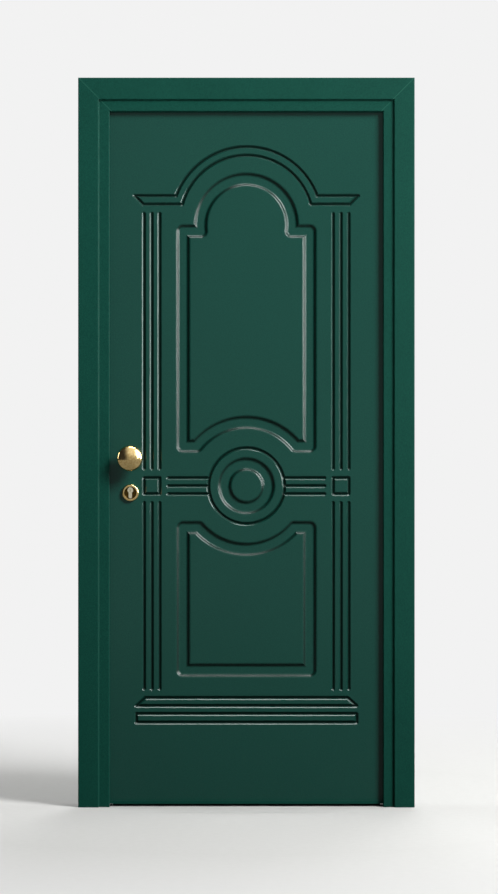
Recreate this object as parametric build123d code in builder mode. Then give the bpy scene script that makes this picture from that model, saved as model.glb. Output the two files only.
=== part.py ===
from build123d import *
import os
from math import asin, atan2, degrees, sqrt

os.makedirs("parts", exist_ok=True)

# Front door with its frame. X runs to the right as seen from outside, Y runs into the house,
# Z is up. The origin is on the floor line, in the middle of the width and of the leaf's thickness.

# Frame: each side is welded from a folded front profile and two flat strips
frame_width = 1010.0
frame_height = 2190.0
frame_sheet = 2.0
frame_bend = 3.0
band_width = 61.5
stop_width = 32.5
head_share = 1.07  # the head's bands are this much wider than the jambs'
lip_depth = 18.0
step_depth = 8.0
stop_depth = 13.0
rebate_overlap = 20.0
rear_flange = 30.0

# Leaf: a steel box between two panels, with folded trims round its edges
leaf_floor_gap = 8.0
leaf_side_gap = 6.0
leaf_top_gap = 5.0
carved_thickness = 16.0
core_depth = 46.0
core_sheet = 1.5
inner_thickness = 7.0
trim_sheet = 1.2
trim_flange = 10.0
panel_play = 0.3
gasket_gap = 5.0
gasket_width = 10.0
gasket_round = 2.0
gasket_play = 0.4

# Stiffeners and filling inside the leaf
stiffener_width = 30.0
stiffener_foot = 15.0
stiffener_sheet = 1.5
stiffener_end_gap = 70.0
stiffener_shares = {"lock_side": -0.40, "middle": 0.16, "hinge_side": 0.70}
wool_gap = 2.0

# Carving: a V bit and a wide ogee bit, whose tips follow the lines below
vee_half = 6.2
vee_depth = 5.6
ogee_half = 24.0
ogee_floor = 8.0
ogee_depth = 8.0
dip_share = 0.985
overrun = 1.0

# Places of the carving as shares of the half width and of the height of the open doorway
medallion_z_share = 0.4616
medallion_share = 0.2774
ring_share = 0.1596
panel_half_share = 0.4635
arch_share = 0.3343
arch_z_share = 0.8374
shoulder_z_share = 0.8285
upper_foot_z_share = 0.5190
scoop_share = 0.4650
lower_shoulder_z_share = 0.4013
lower_foot_z_share = 0.1960
cornice_arch_share = 0.5499
cornice_centre_z_share = 0.8417
cornice_z_share = 0.8794
cornice_half_share = 0.8175
cornice_band = 25.5
flute_share = 0.6350
flute_pitch = 23.4
flute_count = 3
upper_flute_z_shares = (0.4867, 0.8536)
lower_flute_z_shares = (0.1694, 0.4372)
bar_pitch = 24.0
bar_outer_share = 0.5718
plinth_top_z_share = 0.1564
plinth_top_half_share = 0.7420
plinth_band = 24.0
plinth_half_share = 0.8066
skirting_top_z_share = 0.1334
skirting_band = 26.0

# Knob, lever and cylinder
handle_height = 1047.6
handle_backset = 76.0
cylinder_drop = 96.0
euro_radius = 8.5
euro_leg = 10.0
euro_height = 33.0
euro_play = 0.6
knob_radius = 38.5
knob_reach = 70.0
knob_neck = 13.0
knob_crown = 20.0
knob_back = 22.0
knob_edge = 14.0
rosette_radius = 25.0
rosette_height = 8.0
rosette_round = 3.0
stud_radius = 5.0
nut_radius = 8.5
nut_height = 5.0
escutcheon_radius = 25.5
escutcheon_height = 9.0
escutcheon_dish_radius = 18.5
escutcheon_dish = 4.0
escutcheon_round = 4.0
lever_neck = 9.0
lever_reach = 64.0
lever_length = 118.0
lever_bend = 16.0
lever_round_share = 0.8
spindle_side = 8.0
spindle_depth = 20.0
fit_gap = 0.05

# Cylinder plug and cam
plug_radius = 6.5
cam_radius = 15.0
cam_hub = 7.6
cam_width = 8.0
cam_thickness = 10.0
cam_play = 0.25
key_slot_width = 2.0
key_slot_height = 8.0
key_slot_depth = 20.0
cylinder_screw_radius = 2.5
cylinder_screw_drop = 20.2
screw_slot = 1.0

# Lock with its bolts
lock_width = 128.0
lock_depth = 30.0
lock_wall = 2.5
lock_above = 150.0
lock_below = 105.0
bolt_radius = 9.0
bolt_length = 50.0
bolt_pitch = 32.0
bolt_sink = 0.5
bolt_chamfer = 1.0
bolt_offset_share = 0.3125
bolt_play = 0.3
carriage_thickness = 8.0
carriage_depth = 16.0
carriage_margin = 14.0
carriage_play = 1.5
latch_width = 14.0
latch_height = 22.0
latch_length = 40.0
latch_bevel = 10.0
latch_tail = 20.0
latch_tail_side = 8.0
follower_radius = 12.0
follower_journal = 9.0
keep_sheet = 4.0
keep_margin = 14.0
keep_play = 1.6

# Rods and side bolts
rod_radius = 5.0
rod_backset = 57.0
rod_entry = 12.0
rod_travel = 20.0
rod_play = 0.2
end_bolt_radius = 7.0
end_bolt_length = 70.0
end_bolt_play = 2.0
deviator_width = 72.0
deviator_half = 45.0
upper_deviator_z_share = 0.81
lower_deviator_z_share = 0.16
side_bolt_radius = 8.0
side_bolt_length = 46.0
side_throw = 24.0
side_pin_radius = 3.0
side_pin_inset = 7.0
slide_sheet = 3.0
slide_margin = 6.0
slide_play = 0.35
clamp_side = 14.0

# Hinges and dog bolts
hinge_z_shares = {"lower": 0.155, "upper": 0.845}
hinge_length = 120.0
hinge_radius = 10.0
hinge_pin_radius = 6.0
hinge_standoff = 2.4
hinge_plate = 5.0
hinge_reach = 46.0
hinge_frame_reach = 20.0
hinge_clear = 2.0
washer_height = 2.0
washer_radius = 9.5
finial_height = 5.0
finial_taper = 20.0
hinge_screw_radius = 3.0
hinge_screw_head = 5.0
hinge_screw_length = 14.0
hinge_screw_share = 0.36
dog_radius = 7.0
dog_reach = 12.0
dog_collar = 11.0
dog_collar_height = 4.0
dog_chamfer = 2.0
dog_play = 3.0
dog_height_shares = (0.12, 0.31, 0.50, 0.69, 0.88)

# Drop seal under the leaf
seal_width = 9.0
seal_height = 29.5
seal_floor_gap = 0.5
seal_housing_width = 16.0
seal_housing_height = 36.0
seal_wall = 1.5
seal_inset = 22.0
seal_round = 3.0

# Wall fixings through the jambs
fixing_radius = 5.5
fixing_z_shares = (0.10, 0.37, 0.62, 0.87)

# Places worked out from the sizes above
half_frame = frame_width / 2
jamb_width = band_width + stop_width
opening_half = half_frame - jamb_width
opening_top = frame_height - jamb_width * head_share
web_x = opening_half + rebate_overlap
head_web_z = frame_height - (jamb_width - rebate_overlap) * head_share
leaf_half = web_x - leaf_side_gap
leaf_bottom = leaf_floor_gap
leaf_top = head_web_z - leaf_top_gap
leaf_height = leaf_top - leaf_bottom
leaf_middle_z = (leaf_top + leaf_bottom) / 2
leaf_front = -(carved_thickness + core_depth + inner_thickness) / 2
core_front = leaf_front + carved_thickness
core_back = core_front + core_depth
leaf_back = core_back + inner_thickness
trim_front = leaf_front - trim_sheet
trim_back = leaf_back + trim_sheet
seat_y = trim_front - gasket_gap
stop_face_y = seat_y - stop_depth
band_face_y = stop_face_y - step_depth
core_half = leaf_half - trim_sheet
core_bottom = leaf_bottom + trim_sheet
core_top = leaf_top - trim_sheet
lock_y = (core_front + core_back) / 2
edge_inside = leaf_half - trim_sheet - core_sheet
handle_x = -leaf_half + handle_backset
plug_z = handle_height - cylinder_drop
lock_front_y = lock_y - lock_depth / 2
lock_back_y = lock_y + lock_depth / 2
lock_left = -edge_inside
lock_top = plug_z + lock_above
lock_bottom = plug_z - lock_below
bolt_front = -leaf_half + bolt_sink
rod_x = -leaf_half + rod_backset
upper_deviator_height = leaf_bottom + leaf_height * upper_deviator_z_share
lower_deviator_height = leaf_bottom + leaf_height * lower_deviator_z_share
hinge_heights = {place: leaf_bottom + leaf_height * share for place, share in hinge_z_shares.items()}
hinge_x = leaf_half + leaf_side_gap / 2
hinge_y = trim_back + hinge_standoff + hinge_radius


def export(builder, name):
    """Label a finished piece and write it."""
    builder.part.label = name
    export_step(builder.part, f"parts/{name}.step")


def outward(x, y, z):
    """Plane whose own Y points out of the house, for turned pieces."""
    return Plane(origin=(x, y, z), x_dir=(1, 0, 0), z_dir=(0, 0, -1))


def inward(x, y, z):
    """Plane whose own Y points into the house, for turned pieces."""
    return Plane(origin=(x, y, z), x_dir=(1, 0, 0), z_dir=(0, 0, 1))


def through(x, z):
    """Axis through the leaf at one place."""
    return Axis((x, 0, z), (0, 1, 0))


def hinge_screw_places(sign):
    """Places of the hinge screws: sign 1 for those in the frame, -1 for those in the leaf."""
    reach = hinge_frame_reach if sign > 0 else hinge_reach
    x = hinge_x + sign * (hinge_radius + hinge_clear + reach / 2)
    steps = (-hinge_screw_share, 0, hinge_screw_share)
    return [(x, height + step * hinge_length) for height in hinge_heights.values() for step in steps]


def screw_holes(sign, y_from, y_to):
    """Bore one sheet for the hinge screws, from front to back."""
    with BuildSketch(Plane.XZ.offset(overrun - y_from)) as holes:
        with Locations(*hinge_screw_places(sign)):
            Circle(hinge_screw_radius + fit_gap)
    extrude(holes.sketch, amount=-(y_to - y_from + 2 * overrun), mode=Mode.SUBTRACT)


def countersinks(sign):
    """Cone seats for the heads of the hinge screws."""
    with BuildSketch(Plane.XZ.offset(-(trim_back + hinge_plate))) as seats:
        with Locations(*hinge_screw_places(sign)):
            Circle(hinge_screw_head + fit_gap)
    extrude(seats.sketch, amount=hinge_screw_head - hinge_screw_radius, taper=45, mode=Mode.SUBTRACT)


# Frame: a folded front from the lip at the wall to the seat of the gasket, then a web and a rear flange
def fold_front(start, widening):
    """Folded profile on a plane whose X is the distance from the frame's outer edge."""
    stop_edge = jamb_width * widening
    with BuildSketch(start) as profile:
        with BuildLine():
            FilletPolyline(
                (0, band_face_y + lip_depth),
                (0, band_face_y),
                (band_width * widening, band_face_y),
                (band_width * widening, stop_face_y),
                (stop_edge, stop_face_y),
                (stop_edge, seat_y),
                (jamb_web * widening - frame_sheet, seat_y),
                radius=frame_bend,
            )
            offset(amount=frame_sheet, side=Side.LEFT)
        make_face()
    return profile.sketch


def strip(start, left, right, front, back):
    """Section of a flat bar on the same plane, between its four limits."""
    with BuildSketch(start) as section:
        with Locations(((left + right) / 2, (front + back) / 2)):
            Rectangle(right - left, back - front)
    return section.sketch


mitre_left = Plane(origin=(-half_frame, 0, frame_height), z_dir=(head_share, 0, 1))
mitre_right = Plane(origin=(half_frame, 0, frame_height), z_dir=(-head_share, 0, 1))

jamb_start = Plane(origin=(-half_frame, 0, 0))
head_start = Plane(origin=(-half_frame, 0, frame_height), x_dir=(0, 0, -1), z_dir=(1, 0, 0))
jamb_web = jamb_width - rebate_overlap
head_web_drop = jamb_web * head_share
with BuildPart() as frame_left_jamb:
    extrude(fold_front(jamb_start, 1), amount=frame_height)
    split(bisect_by=mitre_left, keep=Keep.BOTTOM)
export(frame_left_jamb, "frame_left_jamb")

with BuildPart() as frame_right_jamb:
    add(mirror(frame_left_jamb.part, about=Plane.YZ, mode=Mode.PRIVATE))
export(frame_right_jamb, "frame_right_jamb")

deadbolt_zs = [plug_z - bolt_pitch * (bolt_offset_share + step) for step in (-2, -1, 1, 2)]
side_bolt_zs = (lower_deviator_height, upper_deviator_height)
fixing_zs = [frame_height * share for share in fixing_z_shares]
dog_zs = [leaf_bottom + leaf_height * share for share in dog_height_shares]
left_web = Plane.YZ.offset(-web_x)
right_web = Plane.YZ.offset(web_x)

with BuildPart() as jamb_webs:
    extrude(strip(jamb_start, jamb_web - frame_sheet, jamb_web, seat_y, trim_back), amount=frame_height)
    split(bisect_by=mitre_left, keep=Keep.BOTTOM)
    mirror(about=Plane.YZ)
    with BuildSketch(left_web):
        with Locations(*[(lock_y, z) for z in deadbolt_zs]):
            Circle(bolt_radius + keep_play)
        with Locations(*[(lock_y, z) for z in side_bolt_zs]):
            Circle(side_bolt_radius + keep_play)
        with Locations((lock_y, handle_height)):
            Rectangle(latch_width + 2 * keep_play, latch_height + 2 * keep_play)
    with BuildSketch(right_web):
        with Locations(*[(lock_y, z) for z in dog_zs]):
            Circle(dog_radius + dog_play)
    with BuildSketch(left_web, right_web):
        with Locations(*[(lock_y, z) for z in fixing_zs]):
            Circle(fixing_radius)
    extrude(amount=frame_sheet + overrun, both=True, mode=Mode.SUBTRACT)
export(jamb_webs, "jamb_webs")

flange_front = trim_back - frame_sheet
with BuildPart() as jamb_flanges:
    flange_bar = strip(jamb_start, jamb_web - rear_flange, jamb_web - frame_sheet, flange_front, trim_back)
    extrude(flange_bar, amount=frame_height)
    split(bisect_by=mitre_left, keep=Keep.BOTTOM)
    mirror(about=Plane.YZ)
    screw_holes(1, flange_front, trim_back)
export(jamb_flanges, "jamb_flanges")

with BuildPart() as frame_header:
    extrude(fold_front(head_start, head_share), amount=frame_width)
    split(bisect_by=mitre_left, keep=Keep.TOP)
    split(bisect_by=mitre_right, keep=Keep.TOP)
export(frame_header, "frame_header")

with BuildPart() as head_web:
    web_bar = strip(head_start, head_web_drop - frame_sheet, head_web_drop, seat_y, trim_back)
    extrude(web_bar, amount=frame_width)
    split(bisect_by=mitre_left, keep=Keep.TOP)
    split(bisect_by=mitre_right, keep=Keep.TOP)
    with BuildSketch(Plane.XY.offset(head_web_z)):
        with Locations((rod_x, lock_y)):
            Circle(end_bolt_radius + end_bolt_play)
    extrude(amount=frame_sheet + overrun, both=True, mode=Mode.SUBTRACT)
export(head_web, "head_web")

with BuildPart() as head_flange:
    head_back = head_web_drop - frame_sheet
    head_bar = strip(head_start, head_web_drop - rear_flange, head_back, flange_front, trim_back)
    extrude(head_bar, amount=frame_width)
    split(bisect_by=mitre_left, keep=Keep.TOP)
    split(bisect_by=mitre_right, keep=Keep.TOP)
export(head_flange, "head_flange")


# Gaskets on the rebate, facing the leaf
def gasket_section(across):
    """D-shaped strip standing on the seat, its flat side against the steel."""
    height = gasket_gap - gasket_play
    with Locations((across, seat_y + height / 2)):
        Rectangle(gasket_width, height)
    fillet(vertices().group_by(Axis.Y)[-1], radius=gasket_round)


head_gasket_z = frame_height - (jamb_width - rebate_overlap / 2) * head_share
gasket_x = half_frame - jamb_width + rebate_overlap / 2
for side, sign in (("left", -1), ("right", 1)):
    with BuildPart() as gasket:
        with BuildSketch(Plane.XY):
            gasket_section(sign * gasket_x)
        extrude(amount=head_gasket_z - gasket_width / 2)
    export(gasket, f"{side}_gasket")

with BuildPart() as head_gasket:
    with BuildSketch(Plane(origin=(-gasket_x, 0, 0), x_dir=(0, 0, -1), z_dir=(1, 0, 0))):
        gasket_section(-head_gasket_z)
    extrude(amount=2 * gasket_x)
export(head_gasket, "head_gasket")

# Keeps behind the left web, which take the bolts and the latch
keep_face = Plane.YZ.offset(-web_x - frame_sheet)
keep_top = handle_height + latch_height / 2 + keep_margin
keep_bottom = deadbolt_zs[-1] - bolt_radius - keep_margin
keep_width = 2 * (bolt_radius + keep_margin)
with BuildPart() as lock_keep:
    with BuildSketch(keep_face):
        with Locations((lock_y, (keep_top + keep_bottom) / 2)):
            Rectangle(keep_width, keep_top - keep_bottom)
        with Locations(*[(lock_y, z) for z in deadbolt_zs]):
            Circle(bolt_radius + keep_play, mode=Mode.SUBTRACT)
        with Locations((lock_y, handle_height)):
            Rectangle(latch_width + 2 * keep_play, latch_height + 2 * keep_play, mode=Mode.SUBTRACT)
    extrude(amount=-keep_sheet)
export(lock_keep, "lock_keep")

with BuildPart() as side_bolt_keeps:
    with BuildSketch(keep_face):
        with Locations(*[(lock_y, z) for z in side_bolt_zs]):
            Rectangle(keep_width, keep_width)
            Circle(side_bolt_radius + keep_play, mode=Mode.SUBTRACT)
    extrude(amount=-keep_sheet)
export(side_bolt_keeps, "side_bolt_keeps")

# Steel core of the leaf: a tray open to the inside, its cover, stiffeners and filling
edge_left = Plane.YZ.offset(-leaf_half)
edge_right = Plane.YZ.offset(leaf_half)
edge_cut = trim_sheet + core_sheet + lock_wall + overrun


def cut_lock_edge():
    """Holes for the bolts, the latch and the cylinder screw in the leaf's lock edge."""
    with BuildSketch(edge_left) as holes:
        with Locations(*[(lock_y, z) for z in deadbolt_zs]):
            Circle(bolt_radius + bolt_play)
        with Locations(*[(lock_y, z) for z in side_bolt_zs]):
            Circle(side_bolt_radius + bolt_play)
        with Locations((lock_y, handle_height)):
            Rectangle(latch_width + 2 * bolt_play, latch_height + 2 * bolt_play)
        with Locations((lock_y, plug_z - cylinder_screw_drop)):
            Circle(cylinder_screw_radius + bolt_play)
    extrude(holes.sketch, amount=edge_cut, both=True, mode=Mode.SUBTRACT)


def cut_hinge_edge():
    """Holes for the dog bolts in the leaf's hinge edge."""
    with BuildSketch(edge_right) as holes:
        with Locations(*[(lock_y, z) for z in dog_zs]):
            Circle(dog_radius + fit_gap)
    extrude(holes.sketch, amount=edge_cut, both=True, mode=Mode.SUBTRACT)


def cut_top_edge():
    """Hole for the upper rod's bolt in the leaf's top edge."""
    with BuildSketch(Plane.XY.offset(leaf_top)) as holes:
        with Locations((rod_x, lock_y)):
            Circle(end_bolt_radius + bolt_play)
    extrude(holes.sketch, amount=edge_cut, both=True, mode=Mode.SUBTRACT)


def cut_seal_slot():
    """Slot for the drop seal in the leaf's bottom edge."""
    with BuildSketch(Plane.XY.offset(leaf_bottom)) as holes:
        with Locations((0, lock_y)):
            Rectangle(2 * (leaf_half - seal_inset), seal_width + 2 * bolt_play)
    extrude(holes.sketch, amount=edge_cut, both=True, mode=Mode.SUBTRACT)


def euro_outline(play):
    """Round-topped cylinder profile, about the plug's centre."""
    Circle(euro_radius + play)
    leg_end = euro_height - euro_radius - euro_leg / 2
    with Locations((0, -leg_end / 2)):
        Rectangle(euro_leg + 2 * play, leg_end)
    with Locations((0, -leg_end)):
        Circle(euro_leg / 2 + play)


def pierce(y_from, y_to, handle_hole=0):
    """Cut the cylinder's hole, and the handle's if it has a radius, through one sheet."""
    with BuildSketch(Plane.XZ.offset(overrun - y_from)) as holes:
        with Locations((handle_x, plug_z)):
            euro_outline(euro_play)
        if handle_hole:
            with Locations((handle_x, handle_height)):
                Circle(handle_hole)
    extrude(holes.sketch, amount=-(y_to - y_from + 2 * overrun), mode=Mode.SUBTRACT)


with BuildPart() as core_tray:
    with BuildSketch(Plane.XZ.offset(-core_front)):
        with Locations((0, leaf_middle_z)):
            Rectangle(2 * core_half, core_top - core_bottom)
    extrude(amount=-(core_depth - core_sheet))
    offset(amount=-core_sheet, openings=faces().sort_by(Axis.Y)[-1])
    cut_lock_edge()
    cut_hinge_edge()
    cut_top_edge()
    cut_seal_slot()
    pierce(core_front, core_front + core_sheet, stud_radius + fit_gap)
export(core_tray, "core_tray")

with BuildPart() as core_cover:
    with BuildSketch(Plane.XZ.offset(-core_back)):
        with Locations((0, leaf_middle_z)):
            Rectangle(2 * core_half, core_top - core_bottom)
    extrude(amount=core_sheet)
    pierce(core_back - core_sheet, core_back, follower_journal + euro_play)
    screw_holes(-1, core_back - core_sheet, core_back)
export(core_cover, "core_cover")

hat_depth = core_depth - 2 * core_sheet
hat_bottom = core_bottom + stiffener_end_gap
hat_top = core_top - core_sheet - panel_play
hat_y = core_front + core_sheet
hat_half = stiffener_width / 2
with BuildPart() as core_stiffeners:
    for share in stiffener_shares.values():
        middle = share * leaf_half
        with BuildSketch(Plane.XY.offset(hat_bottom)):
            with BuildLine():
                Polyline(
                    (middle - hat_half - stiffener_foot, hat_y),
                    (middle - hat_half, hat_y),
                    (middle - hat_half, hat_y + hat_depth - stiffener_sheet),
                    (middle + hat_half, hat_y + hat_depth - stiffener_sheet),
                    (middle + hat_half, hat_y),
                    (middle + hat_half + stiffener_foot, hat_y),
                )
                offset(amount=stiffener_sheet, side=Side.LEFT)
            make_face()
        extrude(amount=hat_top - hat_bottom)
export(core_stiffeners, "core_stiffeners")

wool_bays = (("lock_side", "middle"), ("middle", "hinge_side"))
with BuildPart() as wool_slabs:
    for left_hat, right_hat in wool_bays:
        wool_left = stiffener_shares[left_hat] * leaf_half + hat_half + stiffener_foot + wool_gap
        wool_right = stiffener_shares[right_hat] * leaf_half - hat_half - stiffener_foot - wool_gap
        with BuildSketch(Plane.XZ.offset(-hat_y)):
            with Locations(((wool_left + wool_right) / 2, (hat_top + hat_bottom) / 2)):
                Rectangle(wool_right - wool_left, hat_top - hat_bottom)
        extrude(amount=-(hat_depth - panel_play))
export(wool_slabs, "wool_slabs")

with BuildPart() as inner_panel:
    with BuildSketch(Plane.XZ.offset(-core_back)):
        with Locations((0, leaf_middle_z)):
            Rectangle(2 * (core_half - panel_play), core_top - core_bottom - 2 * panel_play)
    extrude(amount=-inner_thickness)
    pierce(core_back, leaf_back, follower_journal + euro_play)
    screw_holes(-1, core_back, leaf_back)
export(inner_panel, "inner_panel")


# Edge trims: a folded channel round each edge, mitred at the leaf's corners
def trim_channel(across, reach):
    """Channel section with its web at across and its flanges pointing towards the leaf."""
    with Locations((across + reach * trim_flange / 2, 0)):
        Rectangle(trim_flange, trim_back - trim_front)
    with Locations((across + reach * (trim_sheet + trim_flange) / 2, 0)):
        Rectangle(trim_flange - trim_sheet, leaf_back - leaf_front, mode=Mode.SUBTRACT)


def leaf_mitre(sign_x, sign_z):
    """Plane through one corner of the leaf, between the upright and the cross trim."""
    corner_z = leaf_top if sign_z > 0 else leaf_bottom
    return Plane(origin=(sign_x * leaf_half, 0, corner_z), z_dir=(-sign_x, 0, sign_z))


for name, sign in (("lock_edge_trim", -1), ("hinge_edge_trim", 1)):
    with BuildPart() as upright_trim:
        with BuildSketch(Plane.XY.offset(leaf_bottom)):
            trim_channel(sign * leaf_half, -sign)
        extrude(amount=leaf_height)
        split(bisect_by=leaf_mitre(sign, 1), keep=Keep.BOTTOM)
        split(bisect_by=leaf_mitre(sign, -1), keep=Keep.BOTTOM)
        cut_lock_edge()
        cut_hinge_edge()
    export(upright_trim, name)

for name, sign, level in (("top_edge_trim", 1, leaf_top), ("bottom_edge_trim", -1, leaf_bottom)):
    across = Plane(origin=(-leaf_half, 0, level), x_dir=(0, 0, -1), z_dir=(1, 0, 0))
    with BuildPart() as cross_trim:
        with BuildSketch(across):
            trim_channel(0, sign)
        extrude(amount=2 * leaf_half)
        split(bisect_by=leaf_mitre(-1, sign), keep=Keep.TOP)
        split(bisect_by=leaf_mitre(1, sign), keep=Keep.TOP)
        if sign > 0:
            cut_top_edge()
        else:
            cut_seal_slot()
    export(cross_trim, name)


# Carved outer panel: the bits below are pushed along lines and arcs of its front face
def on_face(x, z):
    """Point on the panel's front face."""
    return Vector(x, leaf_front, z)


def bit_outline(bit, centre):
    """Draw a bit's section about centre, with its own Y going into the panel."""
    if bit == "vee":
        spread = vee_half * (1 + overrun / vee_depth)
        Polyline(
            (centre - spread, -overrun),
            (centre + spread, -overrun),
            (centre, vee_depth),
            close=True,
        )
    else:
        bend = (ogee_half + ogee_floor) / 2
        for sign in (-1, 1):
            turn = (centre + sign * bend, ogee_depth / 2)
            TangentArc((centre + sign * ogee_half, 0), turn, tangent=(-sign, 0))
            TangentArc((centre + sign * ogee_floor, ogee_depth), turn, tangent=(sign, 0))
        Line((centre - ogee_floor, ogee_depth), (centre + ogee_floor, ogee_depth))
        Polyline(
            (centre - ogee_half, 0),
            (centre - ogee_half, -overrun),
            (centre + ogee_half, -overrun),
            (centre + ogee_half, 0),
        )


def rout_line(bit, start, end):
    """Push the bit straight from one point of the face to another."""
    run = on_face(*end) - on_face(*start)
    section = Plane(origin=on_face(*start), x_dir=(run.Z, 0, -run.X), z_dir=run)
    with BuildSketch(section) as profile:
        with BuildLine():
            bit_outline(bit, 0)
        make_face()
    extrude(profile.sketch, amount=run.length, mode=Mode.SUBTRACT)


def rout_arc(bit, centre_z, radius, start_angle, sweep_angle):
    """Push the bit round a centre on the middle line, anticlockwise as seen from outside."""
    spin = Axis(on_face(0, centre_z), (0, -1, 0))
    start = inward(0, leaf_front, centre_z).rotated((0, -start_angle, 0))
    with BuildSketch(start) as profile:
        with BuildLine():
            bit_outline(bit, radius)
        make_face()
    revolve(profile.sketch, axis=spin, revolution_arc=sweep_angle, mode=Mode.SUBTRACT)


def rout_dip(bit, x, z):
    """Round off a corner or an end with the turning bit itself."""
    spin = Axis(on_face(x, z), (0, 1, 0))
    with BuildSketch(inward(x, leaf_front, z)) as profile:
        with BuildLine():
            bit_outline(bit, 0)
        make_face()
        scale(by=dip_share)
        split(bisect_by=Plane.YZ)
    revolve(profile.sketch, axis=spin, mode=Mode.SUBTRACT)


def rout_loop(bit, points):
    """Groove from point to point, with every corner rounded by the bit."""
    for start, end in zip(points, points[1:]):
        rout_line(bit, start, end)
    for corner in points:
        rout_dip(bit, *corner)


def meet(radius, rise):
    """Half chord of a circle at a height above or below its centre."""
    return sqrt(radius**2 - rise**2)


medallion_z = medallion_z_share * opening_top
medallion_radius = medallion_share * opening_half
panel_half = panel_half_share * opening_half
scoop_radius = scoop_share * opening_half
face_half = core_half - panel_play
face_bottom = core_bottom + panel_play
face_top = core_top - panel_play


def rout_upper_panel():
    """Arched upper panel: arch, shoulder, stile and the scoop over the medallion."""
    arch_radius = arch_share * opening_half
    arch_z = arch_z_share * opening_top
    shoulder_z = shoulder_z_share * opening_top
    foot_z = upper_foot_z_share * opening_top
    arch_foot = meet(arch_radius, arch_z - shoulder_z)
    arch_start = degrees(asin((shoulder_z - arch_z) / arch_radius))
    scoop_start = degrees(asin((foot_z - medallion_z) / scoop_radius))
    scoop_foot = meet(scoop_radius, foot_z - medallion_z)
    rout_arc("ogee", arch_z, arch_radius, arch_start, 90 - arch_start)
    rout_loop(
        "ogee",
        [
            (arch_foot, shoulder_z),
            (panel_half, shoulder_z),
            (panel_half, foot_z),
            (scoop_foot, foot_z),
        ],
    )
    rout_arc("ogee", medallion_z, scoop_radius, scoop_start, 90 - scoop_start)


def rout_lower_panel():
    """Lower panel: the scoop under the medallion, shoulder, stile and foot."""
    shoulder_z = lower_shoulder_z_share * opening_top
    foot_z = lower_foot_z_share * opening_top
    scoop_start = degrees(asin((shoulder_z - medallion_z) / scoop_radius))
    scoop_foot = meet(scoop_radius, medallion_z - shoulder_z)
    rout_arc("ogee", medallion_z, scoop_radius, -90, 90 + scoop_start)
    rout_loop("ogee", [(scoop_foot, shoulder_z), (panel_half, shoulder_z), (panel_half, foot_z)])
    rout_line("ogee", (panel_half, foot_z), (0, foot_z))


def rout_medallion():
    """Ring groove, dished ring and the three bars that run into the groove."""
    rout_arc("ogee", medallion_z, ring_share * opening_half, -90, 180)
    rout_arc("vee", medallion_z, medallion_radius, -90, 180)
    bar_end = bar_outer_share * opening_half
    for step in (-1, 0, 1):
        rise = step * bar_pitch
        rout_line("vee", (meet(medallion_radius, rise), medallion_z + rise), (bar_end, medallion_z + rise))
        rout_dip("vee", bar_end, medallion_z + rise)


def rout_flutes():
    """Upper and lower flutes, with the little square between them."""
    flute_x = flute_share * opening_half
    for step in range(flute_count):
        x = flute_x + step * flute_pitch
        for shares in (upper_flute_z_shares, lower_flute_z_shares):
            rout_loop("vee", [(x, share * opening_top) for share in shares])
    far_x = flute_x + (flute_count - 1) * flute_pitch
    low_z = medallion_z - bar_pitch
    high_z = medallion_z + bar_pitch
    corners = [(flute_x, low_z), (far_x, low_z), (far_x, high_z), (flute_x, high_z)]
    rout_loop("vee", corners + corners[:1])


def rout_cornice():
    """Two lines that spring from the sides and arch over the upper panel."""
    centre_z = cornice_centre_z_share * opening_top
    line_z = cornice_z_share * opening_top
    for inset in (0, cornice_band):
        radius = cornice_arch_share * opening_half - inset
        rise = line_z - inset - centre_z
        start_angle = degrees(asin(rise / radius))
        rout_arc("vee", centre_z, radius, start_angle, 90 - start_angle)
        foot = (meet(radius, rise), line_z - inset)
        rout_loop("vee", [foot, (cornice_half_share * opening_half - inset, line_z - inset)])
    tip = (cornice_half_share * opening_half, line_z)
    rout_line("vee", tip, (tip[0] - cornice_band, tip[1] - cornice_band))


def rout_base():
    """Plinth with splayed ends and the skirting bar under it."""
    plinth_z = plinth_top_z_share * opening_top
    plinth_half = plinth_half_share * opening_half
    skirting_z = skirting_top_z_share * opening_top
    rout_loop(
        "vee",
        [
            (0, plinth_z),
            (plinth_top_half_share * opening_half, plinth_z),
            (plinth_half, plinth_z - plinth_band),
            (0, plinth_z - plinth_band),
        ],
    )
    rout_loop(
        "vee",
        [
            (0, skirting_z),
            (plinth_half, skirting_z),
            (plinth_half, skirting_z - skirting_band),
            (0, skirting_z - skirting_band),
        ],
    )


with BuildPart() as half_panel:
    with BuildSketch(Plane.XZ.offset(-core_front)):
        with Locations((face_half / 2, (face_top + face_bottom) / 2)):
            Rectangle(face_half, face_top - face_bottom)
    extrude(amount=carved_thickness)
    rout_upper_panel()
    rout_lower_panel()
    rout_medallion()
    rout_flutes()
    rout_cornice()
    rout_base()

with BuildPart() as carved_panel:
    add(half_panel.part)
    mirror(about=Plane.YZ)
    pierce(leaf_front, core_front, stud_radius + fit_gap)
export(carved_panel, "carved_panel")


# Lock, deviators and cylinder
def rod_holes(z_from, z_to):
    """Bore a case for a rod that passes up through it."""
    with BuildSketch(Plane.XY.offset(z_from - overrun)) as holes:
        with Locations((rod_x, lock_y)):
            Circle(rod_radius + rod_play)
    extrude(holes.sketch, amount=z_to - z_from + 2 * overrun, mode=Mode.SUBTRACT)


with BuildPart() as lock_case:
    with BuildSketch(Plane.XZ.offset(-lock_front_y)):
        with Locations((lock_left + lock_width / 2, (lock_top + lock_bottom) / 2)):
            Rectangle(lock_width, lock_top - lock_bottom)
    extrude(amount=-(lock_depth - lock_wall))
    offset(amount=-lock_wall, openings=faces().sort_by(Axis.Y)[-1])
    cut_lock_edge()
    rod_holes(lock_bottom, lock_top)
    pierce(lock_front_y, lock_front_y + lock_wall, follower_journal + fit_gap)
export(lock_case, "lock_case")

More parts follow.
